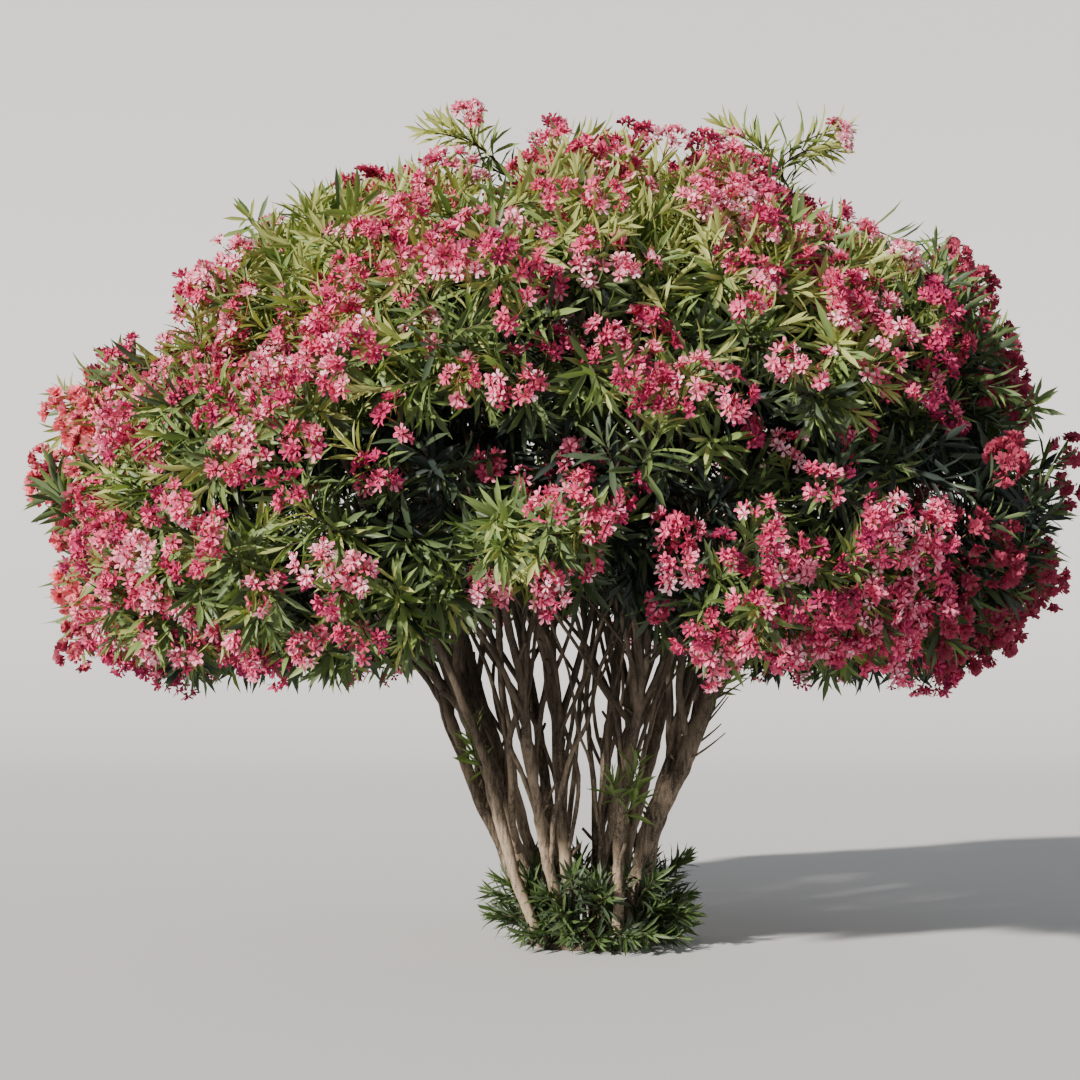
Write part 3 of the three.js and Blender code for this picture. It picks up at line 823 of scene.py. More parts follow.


def bark_look(name, pale, dark, spots):
    """Bark from three colours. Stretched noise gives streaks along it and spots across it."""
    material, tree, principled = new_look(name, Roughness=0.82, Specular_IOR_Level=0.25)
    place = add_node(tree, "ShaderNodeTexCoord").outputs["Object"]
    upright = node_output(tree, "ShaderNodeMapping", {"Vector": place, "Scale": (1, 1, 0.16)})
    flat = node_output(tree, "ShaderNodeMapping", {"Vector": place, "Scale": (1, 1, 2.6)})

    def noise_at(vector, scale, detail=3.0):
        values = {"Vector": vector, "Scale": scale, "Detail": detail}
        return Maths(tree, node_output(tree, "ShaderNodeTexNoise", values))

    patches = noise_at(place, 5.5)
    streaks = noise_at(upright, 95.0)
    dots = noise_at(flat, 150.0, 1.0)
    tone = (patches * 0.65 + streaks * 0.55).between(0.42, 0.80)
    colour = blend(tree, tone, dark, pale)
    corky = dots.between(0.60, 0.68)
    colour = blend(tree, corky * 0.7, colour, spots)
    # Painted shade: higher up, towards the crown, the bark is blended towards its dark colour.
    level = add_node(tree, "ShaderNodeSeparateXYZ", None, {"Vector": place}).outputs["Z"]
    crown_shade = Maths(tree, level).between(SHADE_PAINTED_FROM, SHADE_PAINTED_FULL)
    colour = blend(tree, crown_shade * 0.75, colour, dark)
    tree.links.new(colour, principled.inputs["Base Color"])
    height = streaks * 0.7 + dots * 0.5
    values = {"Strength": 0.55, "Distance": 0.004, "Height": height.socket}
    tree.links.new(node_output(tree, "ShaderNodeBump", values), principled.inputs["Normal"])
    return material


BARKS = {  # pale, dark and spots
    "bark": [(0.330, 0.250, 0.175, 1), (0.046, 0.034, 0.025, 1), (0.42, 0.34, 0.25, 1)],
    "young_bark": [(0.18, 0.135, 0.08, 1), (0.05, 0.038, 0.022, 1), (0.24, 0.19, 0.12, 1)],
}
bark, young_bark = (bark_look(name, *colours) for name, colours in BARKS.items())
print("bark looks made")

# %% [markdown]
# ## Limbs as skinned lines
#
# A limb is a line with a radius at each of its points. A curve object with a bevel would do for
# one, but there are hundreds, and a recipe takes any number of lines as one mesh. It turns each
# line into a curve, sweeps a circle along it with that radius, and pushes the surface in and out
# by noise. The noise gives the bark real relief and makes the stems less than perfectly round.

# %% The recipe for limbs
skin, given, result = new_recipe(
    "skin of a limb",
    {
        "Sides": "NodeSocketInt",
        "Relief": "NodeSocketFloat",
        "Grain": "NodeSocketFloat",
        "Material": "NodeSocketMaterial",
    },
)
girth = node_output(skin, "GeometryNodeInputNamedAttribute", {"Name": "girth"}, data_type="FLOAT")
curve = node_output(skin, "GeometryNodeMeshToCurve", {"Mesh": given["Geometry"]})
circle = {"Resolution": given["Sides"], "Radius": 1.0}
ring = node_output(skin, "GeometryNodeCurvePrimitiveCircle", circle)
sweep = {"Curve": curve, "Profile Curve": ring, "Scale": girth, "Fill Caps": True}
tube = node_output(skin, "GeometryNodeCurveToMesh", sweep)
grain = node_output(skin, "ShaderNodeTexNoise", {"Scale": given["Grain"], "Detail": 3.0})
swell = node_output(skin, "ShaderNodeMath", {0: grain, 1: 0.5}, operation="SUBTRACT")
for factor in (given["Relief"], girth):
    swell = node_output(skin, "ShaderNodeMath", {0: swell, 1: factor}, operation="MULTIPLY")
outward = node_output(skin, "GeometryNodeInputNormal")
push = node_output(skin, "ShaderNodeVectorMath", {0: outward, "Scale": swell}, operation="SCALE")
pushed = node_output(skin, "GeometryNodeSetPosition", {"Geometry": tube, "Offset": push})
finish_recipe(skin, pushed, given["Material"], result)


def lines_mesh(name, lines):
    """Many lines as one mesh of edges. Each line is (points, radii)."""
    points = np.concatenate([line for line, _ in lines])
    girths = np.concatenate([np.broadcast_to(radii, len(line)) for line, radii in lines])
    edges, first = [], 0
    for line, _ in lines:
        edges += [(first + i, first + i + 1) for i in range(len(line) - 1)]
        first += len(line)
    mesh = bpy.data.meshes.new(name)
    mesh.from_pydata(points.tolist(), edges, [])
    mesh.attributes.new("girth", "FLOAT", "POINT").data.foreach_set("value", girths.astype(np.float32))
    return mesh


print("recipe:", len(skin.nodes), "nodes")

# %% Stems, boughs and twigs
def tapered(rows, step=1):
    """Twigs as lines whose radius runs evenly from start to end."""
    lines = [row["line"][::step] for row in rows]
    return [(line, np.linspace(row["start"], row["end"], len(line))) for line, row in zip(lines, rows)]


LIMBS = [  # name, lines, sides, relief, grain, material
    ("stems", [(s["line"], s["girths"]) for s in stems], 14, 0.62, 17.0, bark),
    ("boughs", [(b["line"], b["girths"]) for b in boughs + sides + snags], 8, 0.5, 22.0, bark),
    ("twigs", tapered(twigs, 2), 4, 0.0, 20.0, young_bark),
    ("basal_twigs", tapered(suckers), 5, 0.0, 20.0, young_bark),
]


def skinned(name, lines, sides, relief, grain, material):
    source = lines_mesh(name, lines)
    return follow(skin, name, source, Sides=sides, Relief=relief, Grain=grain, Material=material)


stem_pieces, bough_pieces, twig_pieces, sucker_pieces = (skinned(*row) for row in LIMBS)

# %% [markdown]
# ## The root crown
#
# Where the stems meet the ground the clump is one woody, knotted mound. It could be sculpted, but
# leaves hide most of it. A low dome of rings, pushed about by noise, is enough, and its rim and
# underside stay exactly in the ground's plane.


# %% The root crown
MOUND_HEIGHT = 0.070
RINGS = 14
SPOKES = 72


def mound_mesh():
    """Rings from the flat rim up to the top, between two middle points."""
    points = [(0.0, 0.0, 0.0)]
    for ring in range(RINGS + 1):
        share = 1 - ring / (RINGS + 1)
        radius = MOUND_RADIUS * share**0.6
        level = MOUND_HEIGHT * (1 - share**3.2)
        for spoke in range(SPOKES):
            turn = 2 * math.pi * spoke / SPOKES
            point = Vector((radius * math.cos(turn), radius * math.sin(turn), level))
            knots = noise.noise(point * 22) + 0.5 * noise.noise(point * 55)
            out = 1 - 0.06 * (1 + knots) * min(1, share * 1.4)
            up = max(0.0, level * (1 + 0.35 * knots)) if ring else 0.0
            points.append((point.x * out, point.y * out, up))
    points.append((0.0, 0.0, MOUND_HEIGHT))
    top = len(points) - 1
    faces = []
    for spoke in range(SPOKES):
        after = (spoke + 1) % SPOKES
        faces.append((0, 1 + after, 1 + spoke))
        for ring in range(RINGS):
            inner, outer = 1 + ring * SPOKES, 1 + (ring + 1) * SPOKES
            faces.append((inner + spoke, inner + after, outer + after, outer + spoke))
        last = 1 + RINGS * SPOKES
        faces.append((last + spoke, last + after, top))
    mesh = new_mesh("root_mound", points, faces)
    mesh.shade_smooth()
    return mesh


mound = add_object("root_mound", mound_mesh())
mound.data.materials.append(bark)
print("mound:", len(mound.data.polygons), "faces")

# %% [markdown]
# ## Leaves
#
# An oleander leaf is long, narrow and leathery, 11 to 18 cm by about 2 cm, folded a little along
# its midrib and arched back. A flat card with a leaf's picture would lose that fold, which
# catches the light, and eight triangles are enough for it. The leaves stand in threes round the
# shoot, each three turned by 60 degrees against the next. The young ones at the tip are short and
# upright, and the old ones lean out and droop. A scatter over a surface would miss that order, so
# the places are worked out shoot by shoot and a recipe puts a copy on each.


# %% The leaf
def leaf_mesh(name, arch, fold, half_width):
    """A leaf of length 1 along +Z, its upper face towards +X."""
    stations = [(0.0, 0.0), (0.30, 0.82 * half_width), (0.69, half_width), (1.0, 0.0)]
    points, faces = [], []
    for along, half in stations:
        back = -arch * along**2
        edge = back + fold * half
        points += [(edge, -half, along), (back, 0, along), (edge, half, along)]
    points = [points[1], *points[3:9], points[10]]  # the foot and the tip are single points
    faces = [(0, 2, 1), (0, 3, 2), (1, 2, 5, 4), (2, 3, 6, 5), (4, 5, 7), (5, 6, 7)]
    return new_mesh(name, points, faces)


def template(mesh):
    """A shape that recipes copy. It is kept out of the scene itself."""
    return bpy.data.objects.new(mesh.name, mesh)


flat_leaf = template(leaf_mesh("leaf_flat", 0.10, 0.55, 0.070))
arched_leaf = template(leaf_mesh("leaf_arched", 0.24, 0.40, 0.066))
leaf_shapes = [flat_leaf, arched_leaf]
foot_leaf = template(leaf_mesh("leaf_foot", 0.20, 0.50, 0.060))
print("leaf faces:", len(leaf_shapes[0].data.polygons))

# %% The recipe for copies
copies, given, result = new_recipe(
    "copies on points", {"Shape": "NodeSocketObject", "Material": "NodeSocketMaterial"}
)


def carried(name, kind):
    """A value that the points carry."""
    return node_output(copies, "GeometryNodeInputNamedAttribute", {"Name": name}, data_type=kind)


axis, face = carried("axis", "FLOAT_VECTOR"), carried("face", "FLOAT_VECTOR")
aim = {"Primary Axis": axis, "Secondary Axis": face}
turned = node_output(copies, "FunctionNodeAxesToRotation", aim, primary_axis="Z", secondary_axis="X")
shape = add_node(copies, "GeometryNodeObjectInfo", None, {"Object": given["Shape"]})
spread = {
    "Points": given["Geometry"],
    "Instance": shape.outputs["Geometry"],
    "Rotation": turned,
    "Scale": carried("size", "FLOAT"),
}
placed = node_output(copies, "GeometryNodeInstanceOnPoints", spread)
finish_recipe(copies, placed, given["Material"], result)


def points_mesh(name, places, axes, faces, sizes):
    """Loose points that carry which way a copy points, which way it faces and its size."""
    mesh = new_mesh(name, np.asarray(places).tolist(), [])
    for label, values in (("axis", axes), ("face", faces)):
        data = np.asarray(values, np.float32).ravel()
        mesh.attributes.new(label, "FLOAT_VECTOR", "POINT").data.foreach_set("vector", data)
    own_size = mesh.attributes.new("size", "FLOAT", "POINT")
    own_size.data.foreach_set("value", np.asarray(sizes, np.float32))
    return mesh


print("recipe:", len(copies.nodes), "nodes")

# %% Where the leaves stand
UP = np.array([0.0, 0.0, 1.0])
ANY_TURN = 6.3  # radians, about a full circle
WHORL_TURN = 1.047  # 60 degrees
PATH_POINTS = 40
FIRST_WHORL = 0.004  # below the shoot's end


def whorls_of(line, draw, count, spacing, length, spread=1.0, droop=0.0):
    """Leaves of one shoot: rows of place, axis, face, size and the leaf's age from 0 to 1."""
    path = even(line, PATH_POINTS)
    reach = np.linalg.norm(np.diff(path, axis=0), axis=1).sum()
    rows = []
    spin = ANY_TURN * draw()
    for w in range(count):
        back = FIRST_WHORL + spacing * w * (0.85 + 0.3 * draw())
        if back > 0.96 * reach:
            break
        at = (1 - back / reach) * (PATH_POINTS - 1)
        low = min(int(at), PATH_POINTS - 2)
        place = path[low] + (at - low) * (path[low + 1] - path[low])
        tangent = unit(path[low + 1] - path[low])
        side = unit(np.cross(tangent, UP + [0.01, 0.02, 0]))
        over = np.cross(side, tangent)
        age = w / max(count - 1, 1)
        for leaf in range(3):
            around = spin + w * WHORL_TURN + leaf * 2 * WHORL_TURN + 0.5 * (draw() - 0.5)
            radial = side * math.cos(around) + over * math.sin(around)
            lean = math.radians(spread * (20 + 50 * age**0.7) + 34 * (draw() - 0.5))
            axis = tangent * math.cos(lean) + radial * math.sin(lean)
            axis = axis - UP * (droop + 0.30 * age) * draw()
            face = tangent * math.sin(lean) - radial * math.cos(lean)
            size = length * (0.50 + 0.50 * min(1, 2.2 * age + 0.15)) * (0.82 + 0.36 * draw())
            rows.append((place, unit(axis), face, size, age))
    return rows


test_shoot = bent_line(UP * 0, UP * 0.1, UP * 0.3)
print("leaves on a test shoot:", len(whorls_of(test_shoot, draws_from(5), 8, 0.034, 0.14)))

# %% Dealing out the leaves
LEAF_LENGTH = 0.155
WHORL_STEP = 0.034  # from one whorl to the next
LEAF_LIGHT_AND_AGE_TINTS = ["sunlit", "bright", "green", "deep", "dusk"]
# The greens carry painted light on sprays towards the top and painted shade in the hollows, at the
# right-hand end, under the skirt and inside the crown. Older leaves are darker too.
MIDDLE_LIGHT = 0.55  # of a spray 1.7 m above the ground, where nothing shades it
TOP_LIGHT = 0.30  # gained from there to the top
HOLLOW_SHADE, END_SHADE, UNDER_SHADE, INNER_SHADE = 0.9, 0.45, 0.25, 0.7
SPRAY_SPREAD, LEAF_SPREAD, AGE_SHADE = 0.45, 0.25, 0.5
leaves = {tint: [] for tint in LEAF_LIGHT_AND_AGE_TINTS}
chance = draws_from(4409)


def painted_light_on(tip, inner):
    """Painted light of a spray's greens: more at the top, painted shade in hollows, at the end and
    below.
    """
    light = MIDDLE_LIGHT + TOP_LIGHT * (tip[2] - 1.7) / 1.5 - HOLLOW_SHADE * hollowness(tip)
    light += SPRAY_SPREAD * (chance() - 0.5)
    light -= END_SHADE * shadiness(tip) + UNDER_SHADE * (tip[2] < 1.15)
    return light - INNER_SHADE * inner


for shoot in shoots:
    tip, inner = shoot["line"][-1], shoot["kind"] == "inner"
    light = painted_light_on(tip, inner)
    count = 7 + int(3.2 * chance()) if shoot["kind"] == "outer" else 9
    droop = 1.1 if inner else 0.9 * hollowness(tip)
    for *leaf, age in whorls_of(shoot["line"], chance, count, WHORL_STEP, LEAF_LENGTH, 1.0, droop):
        own = light - AGE_SHADE * age + LEAF_SPREAD * (chance() - 0.5)
        index = int(np.clip(3.2 - 4.4 * own, 0, 4))
        leaves[LEAF_LIGHT_AND_AGE_TINTS[index]].append(leaf)
print({tint: len(rows) for tint, rows in leaves.items()})

# %% Leaves at the foot
FOOT_LEAF_LENGTH = 0.120
FOOT_WHORL_STEP = 0.026
SPRIG_LEVEL = 0.45  # above this a leaf belongs to a sprig on a bare stem and gets a bright green as painted light
basal_leaves = {"bright": [], "green": [], "basal": [], "deep": []}
for shoot in suckers:
    rows = whorls_of(shoot["line"], chance, 7, FOOT_WHORL_STEP, FOOT_LEAF_LENGTH, 0.55)
    for place, axis, face, size, age in rows:
        axis[2] = max(axis[2], (0.020 - place[2]) / size)  # none grows into the ground
        tint = "deep" if age + 0.6 * chance() > 0.75 else "green" if chance() < 0.2 else "basal"
        # Painted light: sprigs on bare stems take the bright green.
        tint = "bright" if place[2] > SPRIG_LEVEL else tint
        basal_leaves[tint].append((place, unit(axis), face, size))
print({tint: len(rows) for tint, rows in basal_leaves.items()}, "at the foot")

# %% [markdown]
# ## Colours of the leaves
#
# The leaf itself is one green, but young leaves, old leaves and the pale undersides differ, and
# each spray stands in its own light. One material could vary its green by a random number for
# each copy, but the copies end as one mesh and lose it. So each leaf is dealt one of five plain
# greens by its own age and by painted light and shade for its spray's place, lighter at the top
# and darker in hollows, underneath and inside. A sixth is kept for the foot. A leaf lets a little
# light through, which a Translucent shader gives, mixed in by a fixed share.


# %% Colours of the leaves
def thin_look(name, colour, through, share, roughness, gloss):
    """Something thin that shines a little and lets some light through."""
    surface = dict(Base_Color=(*colour, 1), Roughness=roughness, Specular_IOR_Level=gloss)
    material, tree, principled = new_look(name, **surface)
    glow = node_output(tree, "ShaderNodeBsdfTranslucent", {"Color": (*through, 1)})
    mix = node_output(tree, "ShaderNodeMixShader", {0: share, 1: principled.outputs[0], 2: glow})
    tree.links.new(mix, tree.nodes["Material Output"].inputs["Surface"])
    return material


# sunlit to dusk run from painted light to painted shade of one leaf green, also dealt by age; basal is
# the suckers' own green
GREENS = {
    "sunlit": (0.340, 0.365, 0.125),
    "bright": (0.165, 0.235, 0.072),
    "green": (0.098, 0.142, 0.058),
    "deep": (0.054, 0.078, 0.043),
    "dusk": (0.020, 0.030, 0.025),
    "basal": (0.070, 0.112, 0.038),
}
leaf_looks = {}
for tint, green in GREENS.items():
    through = tuple(min(1.0, c * f) for c, f in zip(green, (1.5, 1.8, 0.7)))
    leaf_looks[tint] = thin_look("leaf_" + tint, green, through, 0.18, 0.46, 0.30)
print(len(leaf_looks), "greens")


# %% The leaves
def copied(name, rows, shape, material):
    """Copies of a shape on rows of place, axis, face and size, as one plain mesh."""
    return follow(copies, name, points_mesh(name, *zip(*rows)), Shape=shape, Material=material)


leaf_pieces = [
    copied("leaves_" + tint, rows, leaf_shapes[i % 2], leaf_looks[tint])
    for i, (tint, rows) in enumerate(leaves.items())
]
basal_pieces = [
    copied("leaves_basal_" + tint, rows, foot_leaf, leaf_looks[tint])
    for tint, rows in basal_leaves.items()
]

# %% [markdown]
# ## Flowers
#
# The flowers stand in trusses at the ends of shoots. A single flower is about 5 cm across: a
# narrow tube that opens into five blunt petals, each twisted a little like a propeller's blade.
# Thousands of them show at once, so each petal is only a fan of three triangles, high on one edge
# and low on the other, and the same recipe copies the flowers as the leaves. A truss holds
# about twenty flowers, some closed buds and reddish stalks. At both ends of the crown the photo
# shows round, dense trusses of redder, fuller flowers. These hold about thirty, with broader
# petals.


# %% A single flower
PETALS = 5


def flower_mesh(name, cup, breadth=1.0):
    """Twisted petals of radius 1 that face +Z. A larger breadth makes each one wider."""
    points, faces = [], []
    for petal in range(PETALS):
        turn = 2 * math.pi * petal / PETALS
        first = len(points)
        for swing, radius, lift in (
            (0.0, 0.10, -0.12),
            (-23, 0.55, 0.05),
            (-15, 0.97, -0.05),
            (8, 1.00, 0.10),
            (21, 0.60, 0.16),
        ):
            a = turn + math.radians(swing * breadth)
            points.append((radius * math.cos(a), radius * math.sin(a), lift + cup * radius**2))
        faces += [(first, first + k, first + k + 1) for k in (1, 2, 3)]
    return new_mesh(name, points, faces)


def ring_of(count, radius, level):
    turns = [2 * math.pi * k / count for k in range(count)]
    return [(radius * math.cos(a), radius * math.sin(a), level) for a in turns]


def throat_mesh(name):
    """The flower's throat and tube: a narrow funnel down to its stalk."""
    points = [(0, 0, -0.62), *ring_of(PETALS, 0.27, 0.02)]
    faces = [(0, 1 + (k + 1) % PETALS, 1 + k) for k in range(PETALS)]
    return new_mesh(name, points, faces)


def bud_mesh(name):
    """A closed bud along +Z: two three-sided points, base to base."""
    points = [(0, 0, 0), *ring_of(3, 0.16, 0.58), (0, 0, 1)]
    around = [(1, 2), (2, 3), (3, 1)]
    faces = [(0, b, a) for a, b in around] + [(4, a, b) for a, b in around]
    return new_mesh(name, points, faces)


flower_shapes = [template(flower_mesh("flower_a", 0.16)), template(flower_mesh("flower_b", 0.40))]
round_flower = template(flower_mesh("flower_round", 0.55, 1.5))
throat_shape = template(throat_mesh("throat"))
bud_shape = template(bud_mesh("bud"))
print("petal faces:", len(flower_shapes[0].data.polygons))

# %% A truss of flowers
FLOWER_RADIUS = 0.0265
BUD_LENGTH = 0.026
TRUSS_REACH = 0.082  # from the shoot's end to the middle of a group of flowers
BALL_REACH = 0.038  # the same in a round truss
GROUP_RADIUS = 0.030
STALK_RADIUS = 0.0018
ROUND_GROUPS, FEWEST_GROUPS = 6, 3
GROUP_TURN = 2.4  # radians from one group to the next
ROUND_SCATTER, LOOSE_SCATTER = 1.0, 1.9


def truss_of(tip, way, draw, ball):
    """Flowers, buds and stalks of one truss. Its groups stand loosely apart or make one ball."""
    side = unit(np.cross(way, UP + [0.02, 0.01, 0]))
    over = np.cross(side, way)
    flowers, buds, stalks = [], [], []
    spin = ANY_TURN * draw()
    scatter = ROUND_SCATTER if ball else LOOSE_SCATTER
    groups = ROUND_GROUPS if ball else FEWEST_GROUPS + int(3 * draw())
    for group in range(groups):
        polar = math.acos(1 - 1.7 * (group + 0.5) / groups) if ball else 0.15 + 1.1 * draw()
        around = spin + GROUP_TURN * group
        sideways = side * math.cos(around) + over * math.sin(around)
        out = unit(way * math.cos(polar) + sideways * math.sin(polar))
        node = tip + out * (BALL_REACH if ball else TRUSS_REACH * (0.35 + 0.75 * draw()))
        stalks.append((np.array([tip, node]), STALK_RADIUS))
        for _ in range(4 + int(3.2 * draw())):
            away = unit(out + scatter * scattered(draw, 0.4))
            place = node + away * GROUP_RADIUS * (0.75 + 0.5 * draw())
            face = unit(away + 0.4 * out + 0.6 * scatter * scattered(draw, 0.35))
            edge = unit(np.cross(face, side + over * draw()))
            flowers.append((place, face, edge, FLOWER_RADIUS * (0.82 + 0.34 * draw())))
        bud = unit(out + 0.5 * UP + 0.8 * scattered(draw, 0))
        for _ in range(2):
            bud = unit(bud + 0.5 * scattered(draw))
            buds.append((node + bud * GROUP_RADIUS, bud, side, BUD_LENGTH * (0.7 + 0.5 * draw())))
    return flowers, buds, stalks


test_truss = truss_of(UP, UP, draws_from(5), True)
print("a round truss:", [len(rows) for rows in test_truss], "flowers, buds and stalks")

# %% [markdown]
# ## Where the shrub flowers
#
# Blossom isn't spread evenly. Some parts of the crown are nearly covered with it, and others are
# leafy. Chance alone would spread it evenly, and a place for every truss would be a list of
# hundreds. So a base share, slow noise and a table of patches that are read from the photo give
# each shoot its chance. Each truss draws from a seed of its own, so one more truss leaves the
# others as they are.

# %% Where the shrub flowers
BLOSSOM = [  # middle, half width, half height and how much likelier a shoot flowers there
    ((-0.69, 2.83), 0.27, 0.24, 0.30),
    ((0.33, 3.05), 0.22, 0.20, 0.30),
    ((0.00, 3.28), 0.35, 0.14, 0.25),
    ((-0.20, 2.48), 0.15, 0.15, 0.45),
    ((-1.43, 2.38), 0.30, 0.22, 0.35),
    ((-1.14, 2.19), 0.24, 0.22, 0.30),
    ((-2.00, 1.80), 0.42, 0.62, 0.34),
    ((-1.50, 1.80), 0.35, 0.35, 0.20),
    ((-1.00, 2.20), 0.50, 0.45, 0.26),
    ((0.40, 2.14), 0.40, 0.24, 0.85),
    ((1.14, 2.52), 0.24, 0.20, 0.30),
    ((0.85, 2.19), 0.22, 0.14, 0.32),
    ((0.75, 1.66), 0.35, 0.20, 0.60),
    ((1.18, 1.66), 0.26, 0.22, 0.70),
    ((1.80, 1.95), 0.35, 0.60, -0.06),
    ((0.80, 1.32), 0.46, 0.20, 0.75),
    ((-1.30, 1.25), 0.55, 0.16, -0.20),
    ((-0.16, 1.74), 0.16, 0.16, 0.40),
    ((-0.33, 1.38), 0.16, 0.12, 0.25),
    ((-1.67, 1.54), 0.22, 0.20, 0.20),
    ((-1.20, 2.98), 0.32, 0.26, -0.46),
    ((-0.52, 3.10), 0.16, 0.16, -0.25),
    ((0.62, 3.18), 0.22, 0.16, -0.25),
    ((0.45, 2.72), 0.26, 0.16, -0.40),
    ((-0.75, 1.55), 0.45, 0.30, -0.18),
    ((0.42, 1.72), 0.32, 0.16, -0.25),
]


EVEN_SHARE = 0.33  # of the shoots, where nothing changes it
HOLLOW_LOSS, TOP_GAIN, TOP_LEVEL = 0.50, 0.08, 2.7
PATCHINESS = 0.62  # how much slow noise adds or takes


def flowering(tip, draw):
    """Whether a shoot at that place flowers. The hollows are leafy, some patches are full."""
    share = EVEN_SHARE - HOLLOW_LOSS * hollowness(tip) + PATCHINESS * lumpiness(tip * 1.4)
    share += TOP_GAIN * (tip[2] > TOP_LEVEL)
    share += sum(more * patch(tip, *place) for *place, more in BLOSSOM)
    return draw() < share


print(len(BLOSSOM), "patches")

# %% Dealing out the flowers
FLOWER_TINTS = ["blush", "pink", "rose", "carmine", "wine"]
ROUND_TINTS = ["coral", "ember"]
ROUND_END = -1.84  # trusses further left than this are round, like those in shade on the right
PROUD, ROUND_PROUD, SHADE_PROUD = 0.020, 0.018, 0.014  # how far past its shoot's end one stands
DEPTH_SPREAD = 2.6  # of the flowers in one truss, in steps of the tints
flowers = {tint: [] for tint in FLOWER_TINTS + ROUND_TINTS}
buds, stalks = [], []
chance = draws_from(7717)
trusses = 0
for shoot in shoots:
    tip = shoot["line"][-1]
    way = unit(tip - shoot["line"][-3])
    way = unit(way + 0.8 * unit(tip - CROWN_MIDDLE) + 0.25 * UP)
    shade = shadiness(tip)
    ball = shade > 0.5 or tip[0] < ROUND_END
    sure = ball and shoot["kind"] == "plume"
    draw = draws_from(1 + int(2e9 * chance()))
    if shoot["kind"] == "inner" or not (flowering(tip, draw) or sure):
        continue
    trusses += 1
    proud = PROUD + ROUND_PROUD * ball + SHADE_PROUD * (shade > 0.5)
    truss = truss_of(tip + way * proud, way, draw, ball)
    # Painted light and shade: higher trusses paler, those at the shaded end darker.
    tone = draw() + 0.08 * (tip[2] - 1.9) - 0.65 * shade
    depth = float(np.clip(3.8 - 3.0 * tone, 0.8, 3.8))  # of colour, in steps of the tints
    for row in truss[0]:
        own = depth + DEPTH_SPREAD * (draw() - 0.5)
        tint = FLOWER_TINTS[int(np.clip(own, 0, 4))]
        # Painted shade: every round truss on the right takes the darker red.
        if ball:
            tint = ROUND_TINTS[int(own > 2.8 or tip[0] > 0)]
        flowers[tint].append(row)
    buds += truss[1]
    stalks += truss[2]
print(trusses, "trusses,", {tint: len(rows) for tint, rows in flowers.items()}, len(buds), "buds")

# %% [markdown]
# ## Colours of the flowers
#
# A truss opens pale and deepens as it ages, so each truss has a depth of colour by chance. Painted
# light and shade move it: trusses higher up are painted paler, those at the right-hand end darker.
# Each flower strays a little from its truss, and both are dealt out in five plain pinks. The round
# trusses have two reds, and on the right all take the darker one as painted shade. The throat is
# darker than any of them.

# %% The flowers
PINKS = {
    "blush": (0.960, 0.560, 0.660),
    "pink": (0.880, 0.260, 0.400),
    "rose": (0.760, 0.100, 0.230),
    "carmine": (0.500, 0.040, 0.140),
    "wine": (0.270, 0.020, 0.085),
    "coral": (0.860, 0.220, 0.270),
    "ember": (0.360, 0.050, 0.095),
}
flower_pieces = []
for i, (tint, rows) in enumerate(flowers.items()):
    through = tuple(min(1.0, c * 1.15) for c in PINKS[tint])
    look = thin_look("petal_" + tint, PINKS[tint], through, 0.30, 0.55, 0.25)
    shape = round_flower if tint in ROUND_TINTS else flower_shapes[i % 2]
    flower_pieces.append(copied("petals_" + tint, rows, shape, look))
everything = [row for rows in flowers.values() for row in rows]
throat_look = thin_look("throat", (0.52, 0.035, 0.10), (0.6, 0.08, 0.12), 0.2, 0.6, 0.2)
throats = copied("throats", everything, throat_shape, throat_look)
bud_look = thin_look("bud", (0.60, 0.075, 0.125), (0.7, 0.1, 0.12), 0.12, 0.5, 0.3)
bud_piece = copied("buds", buds, bud_shape, bud_look)
stalk_look = thin_look("stalk", (0.30, 0.12, 0.055), (0.4, 0.2, 0.08), 0.1, 0.6, 0.3)
stalk_piece = skinned("stalks", stalks, 3, 0.0, 1.0, stalk_look)

# %% [markdown]
# ## Joining the frame
#
# Every piece rides on the frame's one body, and the CAD nodes that it stands for are hidden.

# %% Joining the frame
names = list(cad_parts)
stem_nodes = [name for name in names if name.startswith("stem_")]
bough_nodes = [name for name in names if name.startswith("bough_")]
mass_nodes = [name for name in names if name.startswith("foliage_")]
basal_nodes = [name for name in names if name.startswith("basal_")]
plan = [
    (mound, ["root_crown"], "bark"),
    (stem_pieces, stem_nodes, "bark"),
    (bough_pieces, bough_nodes, "young_bark"),
    (twig_pieces, mass_nodes, "young_bark"),
    (sucker_pieces, basal_nodes, "young_bark"),
]
plan += [(piece, basal_nodes, "foliage") for piece in basal_pieces]
for piece in [*leaf_pieces, *flower_pieces, throats, bud_piece, stalk_piece]:
    plan.append((piece, mass_nodes, "foliage"))
for piece, nodes, slot in plan:
    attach(piece, "root")
    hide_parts(*nodes)
print(len(plan), "pieces ride on the frame")

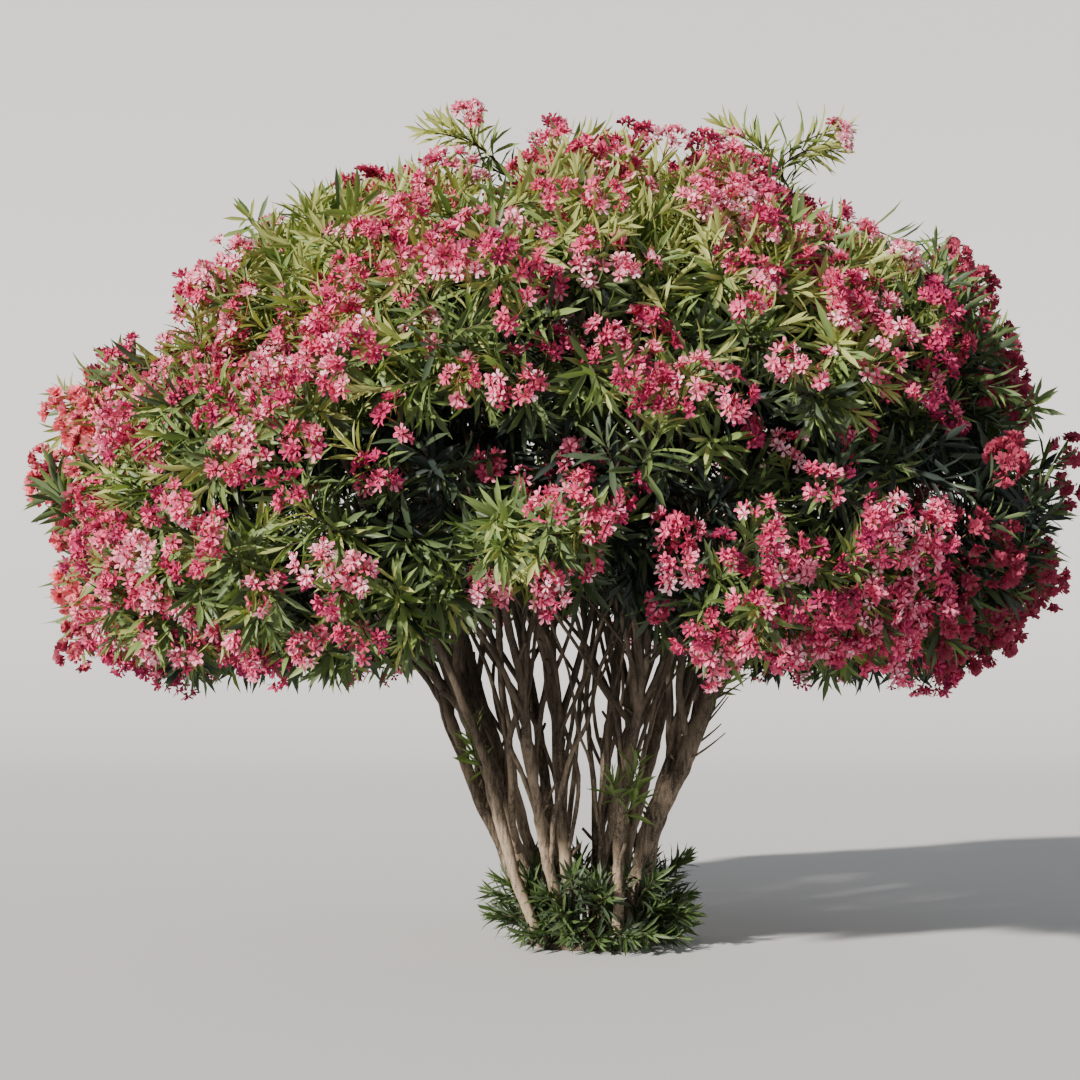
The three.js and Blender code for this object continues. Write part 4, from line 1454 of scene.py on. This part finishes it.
# %% [markdown]
# ## Floor and light
#
# A pale floor and plain studio light, which show the plant by itself. The main light comes from
# the upper left, where the photo's sun stands. It is a sun lamp, because an area lamp would light
# the near side of a crown this wide more than the far side. A weak lamp fills in from the right,
# and a pale surrounding keeps the shade from going black.

# %% The floor
SWEEP_START, SWEEP_RADIUS, SWEEP_HEIGHT = 14.0, 11.0, 16.0


def sweep_mesh():
    """A floor that curves up into a wall far behind, so that no edge shows between them."""
    profile = [(-60.0, -0.002), (SWEEP_START, -0.002)]
    for step in range(1, 25):
        turn = math.pi / 2 * step / 24
        out, up = math.sin(turn), 1 - math.cos(turn)
        profile.append((SWEEP_START + SWEEP_RADIUS * out, SWEEP_RADIUS * up - 0.002))
    profile.append((SWEEP_START + SWEEP_RADIUS, SWEEP_HEIGHT))
    points = [(x, y, z) for x in (-70.0, 70.0) for y, z in profile]
    n = len(profile)
    faces = [(i, n + i, n + i + 1, i + 1) for i in range(n - 1)]
    mesh = new_mesh("floor", points, faces)
    mesh.shade_smooth()
    return mesh


floor = add_object("floor", sweep_mesh())
paper, _, _ = new_look("paper", Base_Color=(0.52, 0.52, 0.52, 1), Roughness=0.9)
floor.data.materials.append(paper)
print("floor:", len(floor.data.polygons), "strips")

# %% The light
TO_SUN = Vector((-0.66, -0.62, 0.43))
FILL_AIM = Vector((0, 0, 1.6))


def lamp(name, kind, strength, colour):
    light = bpy.data.lights.new(name, kind)
    light.energy, light.color = strength, colour
    return add_object(name, light)


fill = lamp("fill", "AREA", 130, (0.85, 0.92, 1.0))
fill.data.size = 6.0
fill.location = (8.0, -7.0, 4.0)
fill.rotation_euler = (FILL_AIM - fill.location).to_track_quat("-Z", "Y").to_euler()
sun = lamp("sun", "SUN", 9.5, (1.0, 0.94, 0.86))
sun.data.angle = math.radians(2.5)
sun.rotation_euler = TO_SUN.to_track_quat("Z", "Y").to_euler()
world = bpy.data.worlds.new("studio")
bpy.context.scene.world = world
world.use_nodes = True
background = world.node_tree.nodes["Background"]
background.inputs["Color"].default_value = (0.80, 0.87, 0.95, 1)
background.inputs["Strength"].default_value = 0.32
